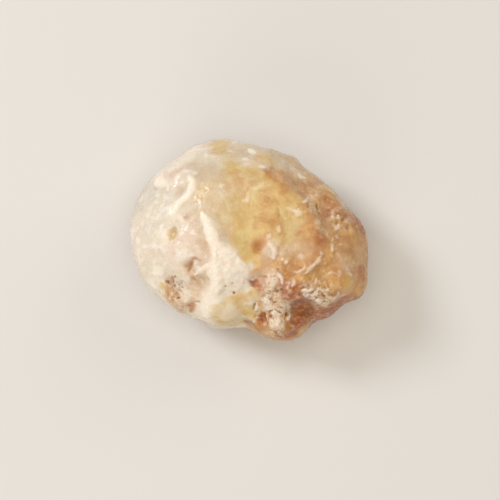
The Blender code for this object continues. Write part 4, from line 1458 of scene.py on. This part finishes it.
@dataclass
class OpalStone:
    """The whole nodule, crust and clear opal grown together."""

    name: str = "opal_stone"
    crumbs_name: str = "matrix_crumbs"
    levels: int = 2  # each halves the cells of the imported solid, from 1 mm to 0.25 mm
    weld: float = 0.002
    base_reach: float = 14.0  # how far the flat patch goes from the middle, at the most
    base_cell: float = 1.0
    joined: tuple[float, float] = (40.0, 60.0)  # degrees off flat and off square for a quad
    fray_sizes: tuple[float, float, float] = (0.9, 2.0, 4.5)  # waves that bend the edges of marks
    fray_share: tuple[float, float, float] = (0.15, 0.25, 0.4)  # how far, as shares of the reach
    fray_most: tuple[float, float, float] = (0.12, 0.35, 1.4)
    fray_shift: float = 4.2  # where in the noise they start
    unseen_fray: float = 2.2  # how much more the marks of the other sides are bent
    wild_fray: tuple[float, float, float] = (0.5, 1.2, 2.0)  # how far the waves bend wild growths
    wild_edge: float = 0.12  # how softly a wild growth begins
    wild_shift: tuple[float, float] = (20.0, 7)  # where in the noise the first and next start
    turned_away: tuple[float, float] = (0.3, 2.5)  # where the sides that marks leave bare begin
    rest: float = 1.6  # no mark lifts the skin this close to the surface it lies on
    wild: tuple[Wild, ...] = (
        Wild(BEIGE, 9.0, 0.46, 0.7),
        Wild(HONEY, 8.0, 0.56, 0.75),
        Wild(AMBER, 10.0, 0.55, 0.75),
        Wild(RUST, 5.0, 0.66, 0.7),
        Wild(CHALK, 4.0, 0.6, 0.6),
        Wild(ASH, 5.0, 0.62, 0.5),
        Wild(GRIT, 8.0, 0.55, 0.6),
        Wild(CHALK, 1.7, 0.62, 0.6),
        Wild(BLUSH, 3.4, 0.56, 0.5),
        Wild(OCHRE, 2.2, 0.66, 0.35),
    )
    finish: OpalFinish = field(default_factory=OpalFinish)
    weathering: Weathering = field(default_factory=Weathering)
    pitting: Pitting = field(default_factory=Pitting)
    crumbs: Crumbs = field(default_factory=Crumbs)

    def build(self) -> list[bpy.types.Object]:
        """Builds the stone and dresses it.

        Returns:
            The stone and its crumbs, both at the origin.
        """
        box = [np.array(corner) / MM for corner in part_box(NODE)]
        material = self.finish.build()
        stone = placed(self.name, self.skin(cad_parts[NODE]))
        self.lay_marks(stone.data)
        for relief in (self.weathering, self.pitting):
            stone.data = grown(stone, relief.tree(material), relief.sizes)
        self.fit(stone.data, *box)
        grains = grown(stone, self.crumbs.tree(material), self.crumbs.sizes)
        crumbs = placed(self.crumbs_name, grains)
        put_points(crumbs.data, np.clip(points_of(crumbs.data), *box))
        for piece in (stone, crumbs):
            piece.data.name = piece.name
            piece.data.shade_smooth()
        return [stone, crumbs]

    def skin(self, source: bpy.types.Object) -> bpy.types.Mesh:
        """Makes a fine, smooth skin in quads.

        Args:
            source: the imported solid, which is left as it is.

        Returns:
            The skin's mesh.
        """
        bm = bmesh.new()
        bm.from_mesh(source.data)
        bmesh.ops.remove_doubles(bm, verts=bm.verts, dist=self.weld * MM)
        self.cut_base(bm)
        flat, square = map(math.radians, self.joined)
        bmesh.ops.join_triangles(
            bm, faces=bm.faces, angle_face_threshold=flat, angle_shape_threshold=square
        )
        mesh = mesh_of("skin", bm)
        mesh.materials.clear()
        coarse = placed("skin", mesh)
        smooth = coarse.modifiers.new("smooth", "SUBSURF")
        smooth.levels = smooth.render_levels = self.levels
        fine = evaluated(coarse)
        bpy.data.objects.remove(coarse)
        return fine

    def cut_base(self, bm: bmesh.types.BMesh) -> None:
        """Cuts the flat patch that the stone lies on into square cells, in place of long slivers.

        Args:
            bm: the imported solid's mesh, which is changed.
        """
        flat = [face for face in bm.faces if all(vert.co.z < self.weld * MM for vert in face.verts)]
        base = bmesh.ops.dissolve_faces(bm, faces=flat)["region"]
        edges = dict.fromkeys(edge for face in base for edge in face.edges)
        corners = dict.fromkeys(corner for face in base for corner in face.verts)
        part = [*base, *edges, *corners]
        steps = np.arange(-self.base_reach, self.base_reach + self.base_cell, self.base_cell)
        for normal in (Vector((1.0, 0.0, 0.0)), Vector((0.0, 1.0, 0.0))):
            for step in steps:
                cut = {"plane_co": normal * step * MM, "plane_no": normal}
                part = bmesh.ops.bisect_plane(bm, geom=part, **cut)["geom"]

    def lay_marks(self, mesh: bpy.types.Mesh) -> None:
        """Stores each growth's share at every point, and raises or sinks the skin by the marks.

        Args:
            mesh: the skin, which is changed.
        """
        points, normals = points_of(mesh), rows_of(mesh, "normal")
        faces = [tuple(face.vertices) for face in mesh.polygons]
        tree = BVHTree.FromPolygons([Vector(p) for p in points], faces)
        waves = [swell(points, size, self.fray_shift + size) for size in self.fray_sizes]
        clear = {growth: np.ones(len(points)) for growth in Growth}
        lift = np.zeros(len(points))
        for mark in MARKS:
            line = np.array([SIGHT.spot(tree, spot, mark.side) for spot in mark.spots])
            bent = points.copy()
            more = 1.0 if mark.side is TOP else self.unseen_fray
            for wave, share, most in zip(waves, self.fray_share, self.fray_most):
                bent += wave * more * min(most, share * mark.reach**2 / (mark.reach + 2))
            felt = self.felt(bent, line, mark.reach)
            clear[mark.growth] *= 1 - felt * mark.strength
            lift += felt**2 * mark.lift
        start, slope = self.turned_away
        hidden = np.clip(start - slope * (normals @ np.array(SIGHT.back)), 0, 1)
        ragged = points + sum(wave * most for wave, most in zip(waves, self.wild_fray))
        first, step = self.wild_shift
        for number, wild in enumerate(self.wild):
            veil = swell(ragged, wild.size, first + step * number)[:, 0] * 0.5 + 0.5
            share = np.clip((veil - wild.start) / self.wild_edge, 0, 1)
            clear[wild.growth] *= 1 - hidden * wild.strength * share
        for growth, left in clear.items():
            store(mesh, growth.value, 1 - left)
        rest = np.clip(points[:, 2:] / self.rest, 0, 1)
        put_points(mesh, points + normals * lift[:, None] * rest)

    @staticmethod
    def felt(points: np.ndarray, line: np.ndarray, reach: float) -> np.ndarray:
        """How much of a mark is felt at each point: 1 on its line, 0 from its reach outwards.

        Args:
            points: the points, in millimetres.
            line: the mark's spots on the surface.
            reach: how far from its line the mark goes; a line's ends taper to half of it.

        Returns:
            One number for each point.
        """
        near = np.all((points > line.min(0) - reach) & (points < line.max(0) + reach), axis=1)
        close = points[near]
        least = np.full(len(close), np.inf)
        starts, ends = (line[:-1], line[1:]) if len(line) > 1 else (line, line)
        for number, (start, end) in enumerate(zip(starts, ends)):
            run = end - start
            share = np.clip((close - start) @ run / max(run @ run, TINY), 0, 1)
            away = np.linalg.norm(close - start - share[:, None] * run, axis=1)
            along = (number + share) / len(starts) if len(line) > 1 else 0.5
            least = np.minimum(least, away / (reach * (1 - 0.5 * (2 * along - 1) ** 4)))
        felt = np.zeros(len(points))
        felt[near] = np.clip(1 - least**2, 0, 1)
        return felt

    @staticmethod
    def fit(mesh: bpy.types.Mesh, low: np.ndarray, high: np.ndarray) -> None:
        """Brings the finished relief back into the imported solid's box.

        Args:
            mesh: the mesh, which is changed.
            low: the box's lowest corner, in millimetres.
            high: its highest corner.
        """
        points = points_of(mesh)
        share = (points - points.min(0)) / np.ptp(points, axis=0)
        put_points(mesh, low + share * (high - low))


# ---------------------------------------------------------------------------------------
# The floor, lights and camera


@dataclass
class Studio:
    """A pale floor under soft daylight from the back left, and the camera."""

    floor_side: float = 3.0
    lens: float = 76.73
    sensor: float = 36.0
    nearest: float = 0.01  # the camera leaves out what is closer, in metres
    room: str = "#EEF0F2"  # the light that comes from all round
    room_strength: float = 0.22
    finish: BoardFinish = field(default_factory=BoardFinish)

    def build(self) -> bpy.types.Object:
        """Lays the floor, hangs the lights and sets up the camera.

        Returns:
            The floor.
        """
        scene = bpy.context.scene
        scene.view_settings.view_transform = "Standard"
        floor = self.floor()
        self.light("window", (-0.56, 0.26, 0.58), 0.24, 3.5, "#F4F6FF")
        self.light("ceiling", (-0.06, -0.12, 0.90), 0.80, 4.7, "#FFF8EE")
        self.light("front", (-0.26, -0.76, 0.34), 0.50, 1.7, "#FFF6EA")
        self.light("fill", (0.60, 0.40, 0.50), 0.60, 1.8, "#FFF1DE")
        scene.world = bpy.data.worlds.new("soft_room")
        scene.world.use_nodes = True
        inputs = scene.world.node_tree.nodes["Background"].inputs
        inputs["Color"].default_value = linear(self.room)
        inputs["Strength"].default_value = self.room_strength
        self.camera()
        return floor

    def floor(self) -> bpy.types.Object:
        """Lays a flat pale board at the level that the stone lies on.

        Returns:
            The board.
        """
        bm = bmesh.new()
        bmesh.ops.create_grid(bm, x_segments=1, y_segments=1, size=self.floor_side / 2)
        mesh = mesh_of("floor", bm)
        mesh.materials.append(self.finish.build())
        return placed("floor", mesh)

    def light(
        self, name: str, place: tuple[float, float, float], side: float, power: float, tint: str
    ) -> None:
        """Hangs one square soft light, aimed at the stone.

        Args:
            name: the light's name.
            place: where its middle is, in metres.
            side: the length of its side, in metres.
            power: its power in watts.
            tint: its sRGB hex colour.
        """
        lamp = bpy.data.lights.new(name, "AREA")
        lamp.size = side
        lamp.energy = power
        lamp.color = linear(tint)[:3]
        hung = placed(name, lamp)
        hung.location = place
        aim = Vector(SIGHT.centre) * MM - hung.location
        hung.rotation_euler = aim.to_track_quat("-Z", "Y").to_euler()

    def camera(self) -> None:
        """Sets up the camera at the point of sight."""
        lens = bpy.data.cameras.new("camera")
        lens.lens = self.lens
        lens.sensor_width = self.sensor
        lens.clip_start = self.nearest
        camera = placed("camera", lens)
        camera.location = SIGHT.eye * MM
        camera.rotation_euler = (-SIGHT.back).to_track_quat("-Z", "Y").to_euler()
        bpy.context.scene.camera = camera


def main() -> None:
    """Builds the stone and its studio, and reports each piece."""
    logging.basicConfig(level=logging.INFO, format="%(name)s: %(message)s")
    for piece in OpalStone().build():
        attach(piece, "root")
        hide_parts(NODE)
        data = piece.data
        LOG.info("%s: %d points, %d faces", piece.name, len(data.vertices), len(data.polygons))
    floor = Studio().build()
    LOG.info("floor, lights and camera set")


if __name__ == "__main__":
    main()
